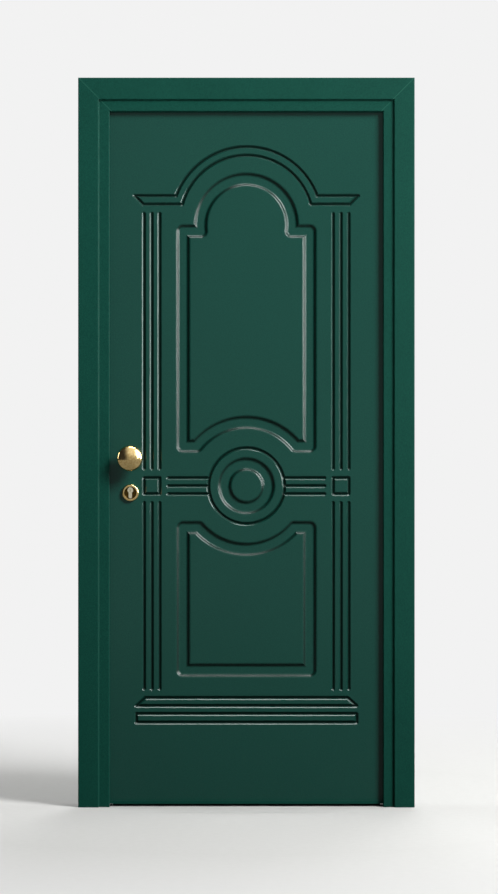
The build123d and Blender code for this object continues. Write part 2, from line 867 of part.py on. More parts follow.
with BuildPart() as lock_cover:
    with BuildSketch(Plane.XZ.offset(-lock_back_y)):
        with Locations((lock_left + lock_width / 2, (lock_top + lock_bottom) / 2)):
            Rectangle(lock_width, lock_top - lock_bottom)
    extrude(amount=lock_wall)
    pierce(lock_back_y - lock_wall, lock_back_y, follower_journal + fit_gap)
export(lock_cover, "lock_cover")

slide_y = lock_y + side_bolt_radius + slide_play
pin_x = bolt_front + side_bolt_length - side_pin_inset
pin_run = sqrt(side_throw**2 + rod_travel**2)
for name, height, rise in (("lower", lower_deviator_height, -1), ("upper", upper_deviator_height, 1)):
    with BuildPart() as deviator_case:
        with BuildSketch(Plane.XZ.offset(-lock_front_y)):
            with Locations((lock_left + deviator_width / 2, height)):
                Rectangle(deviator_width, 2 * deviator_half)
        extrude(amount=-lock_depth)
        offset(amount=-lock_wall, openings=faces().sort_by(Axis.Y)[-1])
        cut_lock_edge()
        rod_holes(height - deviator_half, height + deviator_half)
    export(deviator_case, f"{name}_deviator_case")

    slot_x = pin_x - side_throw / 2
    slot_z = height - rise * rod_travel / 2
    slide_left = pin_x - side_throw - slide_margin
    slide_right = rod_x + clamp_side / 2
    with BuildPart() as slide_plate:
        with BuildSketch(Plane.XZ.offset(-slide_y)):
            with Locations(((slide_left + slide_right) / 2, slot_z)):
                Rectangle(slide_right - slide_left, rod_travel + 2 * slide_margin)
            with Locations((slot_x, slot_z)):
                SlotCenterToCenter(
                    pin_run,
                    2 * (side_pin_radius + slide_play),
                    rotation=rise * degrees(atan2(rod_travel, side_throw)),
                    mode=Mode.SUBTRACT,
                )
        extrude(amount=-slide_sheet)
        with BuildSketch(Plane.XY.offset(slot_z - clamp_side / 2)):
            with Locations((rod_x, (slide_y + lock_y - clamp_side / 2) / 2)):
                Rectangle(clamp_side, slide_y - lock_y + clamp_side / 2)
        extrude(amount=clamp_side)
        with BuildSketch(Plane.XY.offset(slot_z - clamp_side)):
            with Locations((rod_x, lock_y)):
                Circle(rod_radius + fit_gap)
        extrude(amount=2 * clamp_side, mode=Mode.SUBTRACT)
    export(slide_plate, f"{name}_slide_plate")

    with BuildPart() as side_bolt:
        with BuildSketch(Plane.YZ.offset(bolt_front)):
            with Locations((lock_y, height)):
                Circle(side_bolt_radius)
        extrude(amount=side_bolt_length)
        chamfer(edges().group_by(Axis.X)[0], length=bolt_chamfer)
        with BuildSketch(Plane.XZ.offset(-lock_y)):
            with Locations((pin_x, height)):
                Circle(side_pin_radius)
        extrude(amount=-(slide_y + slide_sheet + overrun - lock_y))
    export(side_bolt, f"{name}_side_bolt")

with BuildPart() as lower_rod:
    rod_low = lower_deviator_height - deviator_half - rod_entry
    with BuildSketch(Plane.XY.offset(rod_low)):
        with Locations((rod_x, lock_y)):
            Circle(rod_radius)
    extrude(amount=lock_bottom + lock_wall + rod_entry - rod_low)
export(lower_rod, "lower_rod")

with BuildPart() as upper_rod:
    rod_low = lock_top - lock_wall - rod_entry
    with BuildSketch(Plane.XY.offset(rod_low)):
        with Locations((rod_x, lock_y)):
            Circle(rod_radius)
    extrude(amount=leaf_top - end_bolt_length - rod_low)
    with BuildSketch(Plane.XY.offset(leaf_top - end_bolt_length)):
        with Locations((rod_x, lock_y)):
            Circle(end_bolt_radius)
    extrude(amount=end_bolt_length - bolt_sink)
    chamfer(edges().group_by(Axis.Z)[-1], length=bolt_chamfer)
export(upper_rod, "upper_rod")

with BuildPart() as deadbolts:
    with BuildSketch(Plane.YZ.offset(bolt_front)):
        with Locations(*[(lock_y, z) for z in deadbolt_zs]):
            Circle(bolt_radius)
    extrude(amount=bolt_length)
    chamfer(edges().group_by(Axis.X)[0], length=bolt_chamfer)
export(deadbolts, "deadbolts")

carriage_top = deadbolt_zs[0] + carriage_margin
carriage_bottom = deadbolt_zs[-1] - carriage_margin
with BuildPart() as bolt_carriage:
    with BuildSketch(Plane.YZ.offset(bolt_front + bolt_length)):
        with Locations((lock_y, (carriage_top + carriage_bottom) / 2)):
            Rectangle(carriage_depth, carriage_top - carriage_bottom)
        with Locations((lock_y, plug_z - cylinder_screw_drop)):
            Circle(cylinder_screw_radius + carriage_play, mode=Mode.SUBTRACT)
    extrude(amount=carriage_thickness)
export(bolt_carriage, "bolt_carriage")

with BuildPart() as latch:
    with BuildSketch(Plane.XY.offset(handle_height - latch_height / 2)):
        with BuildLine():
            Polyline(
                (bolt_front, lock_y + latch_width / 2),
                (bolt_front + latch_length, lock_y + latch_width / 2),
                (bolt_front + latch_length, lock_y - latch_width / 2),
                (bolt_front + latch_bevel, lock_y - latch_width / 2),
                close=True,
            )
        make_face()
    extrude(amount=latch_height)
    with BuildSketch(Plane.YZ.offset(bolt_front + latch_length)):
        with Locations((lock_y, handle_height)):
            Rectangle(latch_tail_side, latch_tail_side)
    extrude(amount=latch_tail)
export(latch, "latch")

with BuildPart() as lock_follower:
    with BuildSketch(Plane.XZ.offset(-lock_front_y)):
        with Locations((handle_x, handle_height)):
            Circle(follower_journal)
    extrude(amount=-lock_depth)
    with BuildSketch(Plane.XZ.offset(-(lock_front_y + lock_wall + cam_play))):
        with Locations((handle_x, handle_height)):
            Circle(follower_radius)
    extrude(amount=-(lock_depth - 2 * (lock_wall + cam_play)))
    with BuildSketch(Plane.XZ.offset(-lock_front_y)):
        with Locations((handle_x, handle_height)):
            Rectangle(spindle_side + 2 * fit_gap, spindle_side + 2 * fit_gap)
    extrude(amount=-lock_depth, mode=Mode.SUBTRACT)
export(lock_follower, "lock_follower")

cylinder_front = leaf_front - escutcheon_height
cylinder_back = leaf_back + escutcheon_height
cam_front = lock_y - cam_thickness / 2
cam_back = lock_y + cam_thickness / 2
with BuildPart() as cylinder_body:
    with BuildSketch(Plane.XZ.offset(-cylinder_front)):
        with Locations((handle_x, plug_z)):
            euro_outline(0)
            Circle(plug_radius + fit_gap, mode=Mode.SUBTRACT)
    extrude(amount=-(cylinder_back - cylinder_front))
    with BuildSketch(Plane.XZ.offset(cam_play - cam_front)):
        with Locations((handle_x, plug_z)):
            Circle(cam_radius + cam_play)
    extrude(amount=-(cam_thickness + 2 * cam_play), mode=Mode.SUBTRACT)
    with BuildSketch(Plane.YZ.offset(handle_x)):
        with Locations((lock_y, plug_z - cylinder_screw_drop)):
            Circle(cylinder_screw_radius + fit_gap)
    extrude(amount=euro_leg, both=True, mode=Mode.SUBTRACT)
export(cylinder_body, "cylinder_body")

for name, face_y, reach in (("outer_plug", cylinder_front, 1), ("inner_plug", cylinder_back, -1)):
    plug_length = cam_front - cylinder_front if reach > 0 else cylinder_back - cam_back
    with BuildPart() as plug:
        with BuildSketch(Plane.XZ.offset(-face_y)):
            with Locations((handle_x, plug_z)):
                Circle(plug_radius)
        extrude(amount=-reach * plug_length)
        with BuildSketch(Plane.XZ.offset(-face_y)):
            with Locations((handle_x, plug_z)):
                Rectangle(key_slot_width, key_slot_height)
        extrude(amount=-reach * key_slot_depth, mode=Mode.SUBTRACT)
    export(plug, name)

with BuildPart() as cylinder_cam:
    with BuildSketch(Plane.XZ.offset(-cam_front)):
        with Locations((handle_x + cam_radius / 2, plug_z)):
            Rectangle(cam_radius, cam_width)
        with Locations((handle_x, plug_z)):
            Circle(cam_hub)
            Circle(cam_radius, mode=Mode.INTERSECT)
    extrude(amount=-cam_thickness)
export(cylinder_cam, "cylinder_cam")

with BuildPart() as cylinder_screw:
    with BuildSketch(Plane.YZ.offset(bolt_front)):
        with Locations((lock_y, plug_z - cylinder_screw_drop)):
            Circle(cylinder_screw_radius)
    extrude(amount=handle_x + euro_leg / 2 - bolt_front)
    with BuildSketch(Plane.YZ.offset(bolt_front)):
        with Locations((lock_y, plug_z - cylinder_screw_drop)):
            Rectangle(2 * cylinder_screw_radius, screw_slot)
    extrude(amount=screw_slot, mode=Mode.SUBTRACT)
export(cylinder_screw, "cylinder_screw")


# Furniture on both faces: turned escutcheons, rosettes and knob, and the bent lever
def escutcheon_profile(start):
    """Half section of a dished escutcheon, its own Y standing off the leaf."""
    side_top = (escutcheon_radius, escutcheon_height - escutcheon_round)
    rim = (escutcheon_radius - escutcheon_round, escutcheon_height)
    with BuildSketch(start) as profile:
        with BuildLine():
            Polyline((0, 0), (escutcheon_radius, 0), side_top)
            TangentArc(side_top, rim, tangent=(0, 1))
            Polyline(
                rim,
                (escutcheon_dish_radius, escutcheon_height),
                (escutcheon_dish_radius - escutcheon_dish / 2, escutcheon_height - escutcheon_dish),
                (0, escutcheon_height - escutcheon_dish),
                (0, 0),
            )
        make_face()
    return profile.sketch


def rosette_profile(start, hole):
    """Half section of a round-edged rosette with a hole in its middle."""
    with BuildSketch(start) as profile:
        with Locations(((rosette_radius + hole) / 2, rosette_height / 2)):
            Rectangle(rosette_radius - hole, rosette_height)
        fillet(vertices().group_by(Axis.Y)[-1].sort_by(Axis.X)[-1], radius=rosette_round)
    return profile.sketch


escutcheon_z = plug_z + euro_radius - euro_height / 2
with BuildPart() as cylinder_escutcheon:
    outer_face = outward(handle_x, leaf_front, escutcheon_z)
    revolve(escutcheon_profile(outer_face), axis=through(handle_x, escutcheon_z))
    pierce(cylinder_front, leaf_front)
export(cylinder_escutcheon, "cylinder_escutcheon")

with BuildPart() as inner_escutcheon:
    inner_face = inward(handle_x, leaf_back, escutcheon_z)
    revolve(escutcheon_profile(inner_face), axis=through(handle_x, escutcheon_z))
    pierce(leaf_back, cylinder_back)
export(inner_escutcheon, "inner_escutcheon")

with BuildPart() as knob_rosette:
    revolve(
        rosette_profile(outward(handle_x, leaf_front, handle_height), stud_radius + fit_gap),
        axis=through(handle_x, handle_height),
    )
export(knob_rosette, "knob_rosette")

with BuildPart() as lever_rosette:
    revolve(
        rosette_profile(inward(handle_x, leaf_back, handle_height), lever_neck + bolt_play),
        axis=through(handle_x, handle_height),
    )
export(lever_rosette, "lever_rosette")

knob_rim = knob_reach - knob_crown
knob_neck_top = knob_rim - knob_back
knob_bore = knob_neck_top + stud_radius
edge_x = knob_radius - knob_edge
crown_rise = knob_crown - knob_edge
crown_radius = (edge_x**2 + knob_crown**2 - knob_edge**2) / (2 * crown_rise)
edge_turn = crown_radius / (crown_radius - knob_edge)
crown_edge = (edge_x * edge_turn, knob_reach - crown_radius + (crown_radius - knob_crown) * edge_turn)
with BuildPart() as knob:
    with BuildSketch(outward(handle_x, leaf_front, handle_height)):
        with BuildLine():
            TangentArc((0, knob_reach), crown_edge, tangent=(1, 0))
            TangentArc((knob_radius, knob_rim), crown_edge, tangent=(0, 1))
            TangentArc((knob_radius, knob_rim), (knob_neck, knob_neck_top), tangent=(0, -1))
            Polyline(
                (knob_neck, knob_neck_top),
                (knob_neck, rosette_height),
                (stud_radius + fit_gap, rosette_height),
                (stud_radius + fit_gap, knob_bore),
                (0, knob_bore),
                (0, knob_reach),
            )
        make_face()
    revolve(axis=through(handle_x, handle_height))
export(knob, "knob")

with BuildPart() as knob_stud:
    nut_y = core_front + core_sheet
    with BuildSketch(Plane.XZ.offset(-nut_y)):
        with Locations((handle_x, handle_height)):
            RegularPolygon(nut_radius, side_count=6)
    extrude(amount=-nut_height)
    with BuildSketch(Plane.XZ.offset(knob_bore - leaf_front)):
        with Locations((handle_x, handle_height)):
            Circle(stud_radius)
    extrude(amount=-(nut_y + nut_height - leaf_front + knob_bore))
export(knob_stud, "knob_stud")

grip_y = leaf_back + lever_reach - lever_neck
spindle_end = leaf_back + rosette_height + spindle_depth
with BuildPart() as lever_handle:
    with BuildLine(Plane.XY.offset(handle_height)) as lever_path:
        FilletPolyline(
            (handle_x, leaf_back + bolt_play),
            (handle_x, grip_y),
            (handle_x + lever_length, grip_y),
            radius=lever_bend,
        )
    with BuildSketch(Plane.XZ.offset(-(leaf_back + bolt_play))):
        with Locations((handle_x, handle_height)):
            Circle(lever_neck)
    sweep(path=lever_path.line)
    fillet(edges().group_by(Axis.X)[-1], radius=lever_round_share * lever_neck)
    with BuildSketch(Plane.XZ.offset(-leaf_back)):
        with Locations((handle_x, handle_height)):
            Rectangle(spindle_side + 2 * fit_gap, spindle_side + 2 * fit_gap)
    extrude(amount=-(spindle_end - leaf_back), mode=Mode.SUBTRACT)
export(lever_handle, "lever_handle")

with BuildPart() as lever_spindle:
    with BuildSketch(Plane.XZ.offset(-lock_front_y)):
        with Locations((handle_x, handle_height)):
            Rectangle(spindle_side, spindle_side)
    extrude(amount=-(spindle_end - lock_front_y))
export(lever_spindle, "lever_spindle")

# Hinges on the inner face, with their pins, washers and screws
for place, height in hinge_heights.items():
    knuckle_low = height - hinge_length / 2
    knuckle_height = (hinge_length - washer_height) / 2 - panel_play
    leaf_knuckle_low = height + washer_height / 2 + panel_play
    for wing, sign, base in (("frame", 1, knuckle_low), ("leaf", -1, leaf_knuckle_low)):
        plate_start = hinge_x + sign * (hinge_radius + hinge_clear)
        plate_reach = hinge_frame_reach if sign > 0 else hinge_reach
        with BuildPart() as hinge_wing:
            with BuildSketch(Plane.XY.offset(knuckle_low)):
                with Locations((plate_start + sign * plate_reach / 2, trim_back + hinge_plate / 2)):
                    Rectangle(plate_reach, hinge_plate)
                if sign < 0:
                    pad = leaf_half - trim_flange - panel_play - (plate_start - plate_reach)
                    with Locations((plate_start - plate_reach + pad / 2, leaf_back + trim_sheet / 2)):
                        Rectangle(pad, trim_sheet)
            extrude(amount=hinge_length)
            with BuildSketch(Plane.XY.offset(base)):
                with Locations((hinge_x, hinge_y)):
                    Circle(hinge_radius)
                with BuildLine():
                    Polyline(
                        (hinge_x, hinge_y - hinge_radius),
                        (plate_start, trim_back),
                        (plate_start + sign * hinge_radius, trim_back),
                        (plate_start + sign * hinge_radius, trim_back + hinge_plate),
                        (hinge_x + sign * hinge_radius, hinge_y),
                        close=True,
                    )
                make_face()
                with Locations((hinge_x, hinge_y)):
                    Circle(hinge_pin_radius + fit_gap, mode=Mode.SUBTRACT)
            extrude(amount=knuckle_height)
            screw_holes(sign, leaf_back, trim_back + hinge_plate)
            countersinks(sign)
        export(hinge_wing, f"{place}_hinge_{wing}_wing")

with BuildPart() as hinge_pins:
    for height in hinge_heights.values():
        with BuildSketch(Plane.XY.offset(height - hinge_length / 2)):
            with Locations((hinge_x, hinge_y)):
                Circle(hinge_pin_radius)
        extrude(amount=hinge_length + panel_play)
        with BuildSketch(Plane.XY.offset(height + hinge_length / 2 + panel_play)):
            with Locations((hinge_x, hinge_y)):
                Circle(hinge_radius)
        extrude(amount=finial_height, taper=finial_taper)
export(hinge_pins, "hinge_pins")

with BuildPart() as hinge_washers:
    for height in hinge_heights.values():
        with BuildSketch(Plane.XY.offset(height - washer_height / 2 - panel_play)):
            with Locations((hinge_x, hinge_y)):
                Circle(washer_radius)
                Circle(hinge_pin_radius + fit_gap, mode=Mode.SUBTRACT)
        extrude(amount=washer_height + panel_play)
export(hinge_washers, "hinge_washers")

for name, sign in (("hinge_frame_screws", 1), ("hinge_leaf_screws", -1)):
    with BuildPart() as hinge_screws:
        for x, z in hinge_screw_places(sign):
            with BuildSketch(outward(x, trim_back + hinge_plate, z)):
                with BuildLine():
                    Polyline(
                        (0, 0),
                        (hinge_screw_head, 0),
                        (hinge_screw_radius, hinge_screw_head - hinge_screw_radius),
                        (hinge_screw_radius, hinge_screw_length),
                        (0, hinge_screw_length),
                        close=True,
                    )
                make_face()
            revolve(axis=through(x, z))
    export(hinge_screws, name)

with BuildPart() as hinge_dog_bolts:
    with BuildSketch(Plane.YZ.offset(edge_inside - dog_collar_height)):
        with Locations(*[(lock_y, z) for z in dog_zs]):
            Circle(dog_collar)
    extrude(amount=dog_collar_height)
    with BuildSketch(Plane.YZ.offset(edge_inside)):
        with Locations(*[(lock_y, z) for z in dog_zs]):
            Circle(dog_radius)
    extrude(amount=leaf_half + dog_reach - edge_inside)
    chamfer(edges().group_by(Axis.X)[-1], length=dog_chamfer)
export(hinge_dog_bolts, "hinge_dog_bolts")

# Drop seal: a channel in the leaf's foot and the blade that comes down to the floor
seal_half = leaf_half - seal_inset
seal_base = core_bottom + core_sheet
with BuildPart() as seal_housing:
    with BuildSketch(Plane.YZ):
        with Locations((lock_y, seal_base + seal_housing_height / 2)):
            Rectangle(seal_housing_width, seal_housing_height)
        with Locations((lock_y, seal_base + (seal_housing_height - seal_wall) / 2)):
            Rectangle(
                seal_housing_width - 2 * seal_wall, seal_housing_height - seal_wall, mode=Mode.SUBTRACT
            )
    extrude(amount=seal_half, both=True)
export(seal_housing, "seal_housing")

with BuildPart() as seal_blade:
    with BuildSketch(Plane.YZ):
        with Locations((lock_y, seal_floor_gap + seal_height / 2)):
            Rectangle(seal_width, seal_height)
        fillet(vertices().group_by(Axis.Y)[0], radius=seal_round)
    extrude(amount=seal_half - bolt_play, both=True)
export(seal_blade, "seal_blade")
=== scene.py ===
"""Looks of a front door with its frame: finishes, carved panel, seals, screws, floor, lamps and camera."""

import logging
import math
from collections.abc import Callable, Iterable, Sequence
from dataclasses import dataclass, field
from enum import Enum

import bpy
import numpy as np
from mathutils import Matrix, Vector
from mathutils.geometry import delaunay_2d_cdt


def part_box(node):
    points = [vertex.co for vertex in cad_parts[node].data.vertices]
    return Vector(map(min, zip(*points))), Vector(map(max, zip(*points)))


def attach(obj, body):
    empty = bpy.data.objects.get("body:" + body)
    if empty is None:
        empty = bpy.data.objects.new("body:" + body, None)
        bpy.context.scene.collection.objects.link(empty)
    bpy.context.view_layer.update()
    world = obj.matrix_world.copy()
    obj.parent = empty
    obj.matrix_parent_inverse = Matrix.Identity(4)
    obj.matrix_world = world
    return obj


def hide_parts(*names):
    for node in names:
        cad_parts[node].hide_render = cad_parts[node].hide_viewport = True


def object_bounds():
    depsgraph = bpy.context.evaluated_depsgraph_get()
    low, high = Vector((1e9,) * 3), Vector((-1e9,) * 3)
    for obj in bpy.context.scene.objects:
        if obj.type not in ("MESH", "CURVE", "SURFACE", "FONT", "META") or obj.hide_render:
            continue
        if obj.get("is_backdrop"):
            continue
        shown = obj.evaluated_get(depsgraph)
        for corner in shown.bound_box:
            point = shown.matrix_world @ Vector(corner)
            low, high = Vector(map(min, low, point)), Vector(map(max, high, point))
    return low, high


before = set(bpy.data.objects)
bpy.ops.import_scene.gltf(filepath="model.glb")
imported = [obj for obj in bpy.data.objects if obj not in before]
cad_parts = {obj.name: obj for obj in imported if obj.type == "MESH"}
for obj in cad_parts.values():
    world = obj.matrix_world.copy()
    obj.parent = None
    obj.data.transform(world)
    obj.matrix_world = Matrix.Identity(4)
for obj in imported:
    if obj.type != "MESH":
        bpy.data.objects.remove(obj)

log = logging.getLogger("front_door")

MM = 0.001

# Name of the attribute that holds the shade painted into the carving at each point.
GROOVE_SHADE = "groove"
# Octaves of noise in felted fibres, in films and brush lines, and in the clouds of a colour.
FIBRE_DETAIL = 5.0
FILM_DETAIL = 2.0
CLOUD_DETAIL = 3.0
# Part of the noise's range that is spread over the whole grain.
GRAIN_SPAN = (0.32, 0.68)
# Weight of the clouds against the grain in a colour.
CLOUD_WEIGHT = 0.4
# The Mix node's sockets share their names, so they are told apart by number.
FLOAT_A, FLOAT_B = 2, 3
COLOUR_A, COLOUR_B, COLOUR_OUT = 6, 7, 2
# Slack for an angle that should be equal to another.
SAME_ANGLE = 1e-9

Point = tuple[float, float]
Place = tuple[float, float, float]
Socket = bpy.types.NodeSocket
Tree = bpy.types.NodeTree
Inputs = dict[str | int, object]


def linear(code: str) -> tuple[float, float, float, float]:
    """Turn an sRGB hex colour into the linear values that shaders take.

    Args:
        code: Six hex digits after a hash sign.

    Returns:
        Linear red, green and blue, with an alpha of one.
    """
    shares = [int(code[place : place + 2], 16) / 255 for place in (1, 3, 5)]
    red, green, blue = (v / 12.92 if v <= 0.04045 else ((v + 0.055) / 1.055) ** 2.4 for v in shares)
    return red, green, blue, 1.0


def add_node(tree: Tree, kind: str, inputs: Inputs | None = None, **settings: object) -> bpy.types.Node:
    """Add one node to a tree.

    Args:
        tree: Shader or geometry tree that gets the node.
        kind: Blender's name for the kind of node.
        inputs: Socket name or number to a value, or to the socket that feeds it.
        **settings: Properties of the node itself.

    Returns:
        The new node.
    """
    node = tree.nodes.new(kind)
    for name, value in settings.items():
        setattr(node, name, value)
    for key, value in (inputs or {}).items():
        if isinstance(value, Socket):
            tree.links.new(value, node.inputs[key])
        else:
            node.inputs[key].default_value = value
    return node


class Pattern(Enum):
    """Grain that a way of making a surface leaves on it."""

    PEEL = "sprayed or baked film"
    SPANGLE = "zinc crystals"
    BRUSHED = "lines of a wheel or a belt"
    FIBRE = "felted fibres"


@dataclass(frozen=True)
class Finish:
    """Material of one slot, drawn from its grain in millimetres.

    Attributes:
        slot: Name of the material slot, not used by the script.
        name: Common name of the material.
        dark: Colour in the low places of the grain.
        light: Colour in the high places of the grain.
        roughness: Lowest and highest roughness.
        grain_mm: Size of one grain.
        bump_mm: Height of the grain.
        pattern: Kind of grain.
        metallic: One for bare metal.
        specular: Specular level of the surface.
        cloud_mm: Size of the faint clouds in the colour.
        stretch: How the grain is drawn out along X, Y and Z.
        stain_and_shade: Colour in the places that the finish masks, where it has any; a real stain on some
            finishes, painted shade on others.
    """

    slot: str
    name: str
    dark: str
    light: str
    roughness: Point
    grain_mm: float
    bump_mm: float
    pattern: Pattern = Pattern.PEEL
    metallic: float = 0.0
    specular: float = 0.5
    cloud_mm: float = 180.0
    stretch: Place = (1.0, 1.0, 1.0)
    stain_and_shade: str = "#000000"

    def grain(self, tree: Tree, place: Socket) -> Socket:
        """Draw the grain.

        Args:
            tree: Tree of the material.
            place: Position on the piece.

        Returns:
            Socket with a value between zero and one.
        """
        scale = 1 / (self.grain_mm * MM)
        if self.pattern is Pattern.SPANGLE:
            cells = add_node(tree, "ShaderNodeTexVoronoi", {"Vector": place, "Scale": scale})
            return add_node(tree, "ShaderNodeSeparateColor", {0: cells.outputs["Color"]}).outputs[0]
        detail = FIBRE_DETAIL if self.pattern is Pattern.FIBRE else FILM_DETAIL
        noise = add_node(tree, "ShaderNodeTexNoise", {"Vector": place, "Scale": scale, "Detail": detail})
        low, high = GRAIN_SPAN
        span = {"Value": noise.outputs[0], "From Min": low, "From Max": high}
        return add_node(tree, "ShaderNodeMapRange", span).outputs[0]

    def mask(self, tree: Tree) -> Socket | None:
        """Places of stains and painted shade, none on a plain finish."""
        return None

    def tint(self, tree: Tree, grain: Socket, cloud: Socket) -> Socket:
        """Mix the two colours by the grain and the clouds, and put stains and painted shade over them.

        Args:
            tree: Tree of the material.
            grain: Fine grain.
            cloud: Slow clouds.

        Returns:
            Colour socket.
        """
        blend = {0: CLOUD_WEIGHT, FLOAT_A: grain, FLOAT_B: cloud}
        share = add_node(tree, "ShaderNodeMix", blend).outputs[0]
        paints = {0: share, COLOUR_A: linear(self.dark), COLOUR_B: linear(self.light)}
        colour = add_node(tree, "ShaderNodeMix", paints, data_type="RGBA").outputs[COLOUR_OUT]
        mask = self.mask(tree)
        if mask is None:
            return colour
        paints = {0: mask, COLOUR_A: colour, COLOUR_B: linear(self.stain_and_shade)}
        return add_node(tree, "ShaderNodeMix", paints, data_type="RGBA").outputs[COLOUR_OUT]

    def gloss(self, tree: Tree, grain: Socket) -> Socket:
        """Spread the roughness over the grain.

        Args:
            tree: Tree of the material.
            grain: Fine grain.

        Returns:
            Roughness socket.
        """
        low, high = self.roughness
        span = {"Value": grain, "To Min": low, "To Max": high}
        return add_node(tree, "ShaderNodeMapRange", span).outputs[0]

    def material(self) -> bpy.types.Material:
        """Make the material once and hand out the same one after that.

        Returns:
            Material named for what it is.
        """
        made = bpy.data.materials.get(self.name)
        if made:
            return made
        made = bpy.data.materials.new(self.name)
        made.use_nodes = True
        tree = made.node_tree
        shader = tree.nodes["Principled BSDF"]
        shader.inputs["Metallic"].default_value = self.metallic
        shader.inputs["Specular IOR Level"].default_value = self.specular
        spot = add_node(tree, "ShaderNodeTexCoord").outputs["Object"]
        place = add_node(tree, "ShaderNodeMapping", {"Vector": spot, "Scale": self.stretch}).outputs[0]
        grain = self.grain(tree, place)
        slow = {"Vector": spot, "Scale": 1 / (self.cloud_mm * MM), "Detail": CLOUD_DETAIL}
        cloud = add_node(tree, "ShaderNodeTexNoise", slow).outputs[0]
        bump = add_node(tree, "ShaderNodeBump", {"Height": grain, "Distance": self.bump_mm * MM})
        tree.links.new(self.tint(tree, grain, cloud), shader.inputs["Base Color"])
        tree.links.new(self.gloss(tree, grain), shader.inputs["Roughness"])
        tree.links.new(bump.outputs[0], shader.inputs["Normal"])
        return made

    def dress(self, *nodes: str) -> None:
        """Give this finish to solids of the part.

        Args:
            *nodes: Names of the solids' nodes.
        """
        for node in nodes:
            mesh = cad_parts[node].data
            mesh.materials.clear()
            mesh.materials.append(self.material())


@dataclass(frozen=True)
class CarvedLacquer(Finish):
    """Lacquer with shade painted into the carving, darker and duller at the bottom of the grooves and on
    their flanks.

    Attributes:
        dulling: Roughness added at the bottom of the sharpest groove.
    """

    dulling: float = 0.0

    def mask(self, tree: Tree) -> Socket:
        """Shade painted into the carving, read from the mesh."""
        return add_node(tree, "ShaderNodeAttribute", attribute_name=GROOVE_SHADE).outputs["Fac"]

    def gloss(self, tree: Tree, grain: Socket) -> Socket:
        """Let the gloss go with the depth of the carving.

        Args:
            tree: Tree of the material.
            grain: Fine grain.

        Returns:
            Roughness socket.
        """
        face = super().gloss(tree, grain)
        terms = {0: self.mask(tree), 1: self.dulling, 2: face}
        return add_node(tree, "ShaderNodeMath", terms, operation="MULTIPLY_ADD").outputs[0]


@dataclass(frozen=True)
class MitredPowder(Finish):
    """Powder coat with the filled mitres of the frame's upper corners.

    Attributes:
        corner_mm: Outer corner of the frame, from the middle and from the floor.
        line_mm: Width of the filled line.
    """

    corner_mm: Point = (0.0, 0.0)
    line_mm: float = 1.0

    def mask(self, tree: Tree) -> Socket:
        """Find the two mitres, which slope at half a right angle.

        Args:
            tree: Tree of the material.

        Returns:
            Socket that is one on the filled lines.
        """
        spot = add_node(tree, "ShaderNodeTexCoord").outputs["Object"]
        axes = add_node(tree, "ShaderNodeSeparateXYZ", {0: spot}).outputs
        side = add_node(tree, "ShaderNodeMath", {0: axes["X"]}, operation="ABSOLUTE").outputs[0]
        slant = add_node(tree, "ShaderNodeMath", {0: side, 1: axes["Z"]}, operation="SUBTRACT").outputs[0]
        line = {0: slant, 1: (self.corner_mm[0] - self.corner_mm[1]) * MM, 2: self.line_mm * MM}
        return add_node(tree, "ShaderNodeMath", line, operation="COMPARE").outputs[0]


@dataclass(frozen=True)
class DishedBrass(Finish):
    """Polished brass with painted shade and dark reflection in the dish round the cylinder.

    Attributes:
        centre_mm: Middle of the dish, across the leaf and from the floor.
        dish_mm: Radius of the dish.
    """

    centre_mm: Point = (0.0, 0.0)
    dish_mm: float = 1.0

    def mask(self, tree: Tree) -> Socket:
        """Find the dish.

        Args:
            tree: Tree of the material.

        Returns:
            Socket that is one inside the dish.
        """
        spot = add_node(tree, "ShaderNodeTexCoord").outputs["Object"]
        flat = add_node(tree, "ShaderNodeVectorMath", {0: spot, 1: (1.0, 0.0, 1.0)}, operation="MULTIPLY")
        ends = {0: flat.outputs[0], 1: (self.centre_mm[0] * MM, 0.0, self.centre_mm[1] * MM)}
        away = add_node(tree, "ShaderNodeVectorMath", ends, operation="DISTANCE").outputs["Value"]
        inside = {0: away, 1: self.dish_mm * MM}
        return add_node(tree, "ShaderNodeMath", inside, operation="LESS_THAN").outputs[0]


# Baked powder on steel: matt, with a fine speckle drawn coarser than the real one, and pale filled mitres.
POWDER = MitredPowder(
    "powder_coated_steel",
    "baked_powder_on_steel",
    dark="#05342B",
    light="#104A3E",
    roughness=(0.48, 0.60),
    grain_mm=2.6,
    bump_mm=0.03,
    specular=0.05,
    stain_and_shade="#24594B",
    corner_mm=(505.0, 2190.0),
    line_mm=1.1,
)
# Sprayed satin lacquer on fibreboard: even, half gloss, with thin bright lines on the edges of the carving.
LACQUER = CarvedLacquer(
    "lacquered_fibreboard",
    "satin_lacquer_on_fibreboard",
    dark="#0E3B33",
    light="#15463C",
    roughness=(0.13, 0.17),
    grain_mm=3.5,
    bump_mm=0.003,
    specular=0.2,
    cloud_mm=420.0,
    # Painted shade: near black at the bottom of the pointed grooves and halfway down the flanks of the wide
    # ones.
    stain_and_shade="#04120E",
    dulling=0.25,
)
# Pressed laminate on the inner side: the same green with a dull, very fine tooth.
LAMINATE = Finish(
    "laminated_board",
    "pressed_laminate_on_board",
    dark="#1D3F36",
    light="#264A40",
    roughness=(0.42, 0.55),
    grain_mm=1.6,
    bump_mm=0.02,
    specular=0.3,
)
# Hot-dip zinc: grey crystals, some of them darker.
ZINC = Finish(
    "zinc_coated_steel",
    "hot_dip_zinc_on_steel",
    dark="#9FA3A6",
    light="#C9CCCE",
    roughness=(0.32, 0.55),
    grain_mm=9.0,
    bump_mm=0.005,
    pattern=Pattern.SPANGLE,
    metallic=1.0,
)
# Ground bar: bright, with fine rings across the axis, drawn coarser than the real ones so that they show.
GROUND = Finish(
    "ground_steel",
    "ground_steel_bar",
    dark="#A9ABAD",
    light="#D4D6D7",
    roughness=(0.18, 0.34),
    grain_mm=1.2,
    bump_mm=0.004,
    pattern=Pattern.BRUSHED,
    metallic=1.0,
    stretch=(1.0, 0.15, 0.15),
)
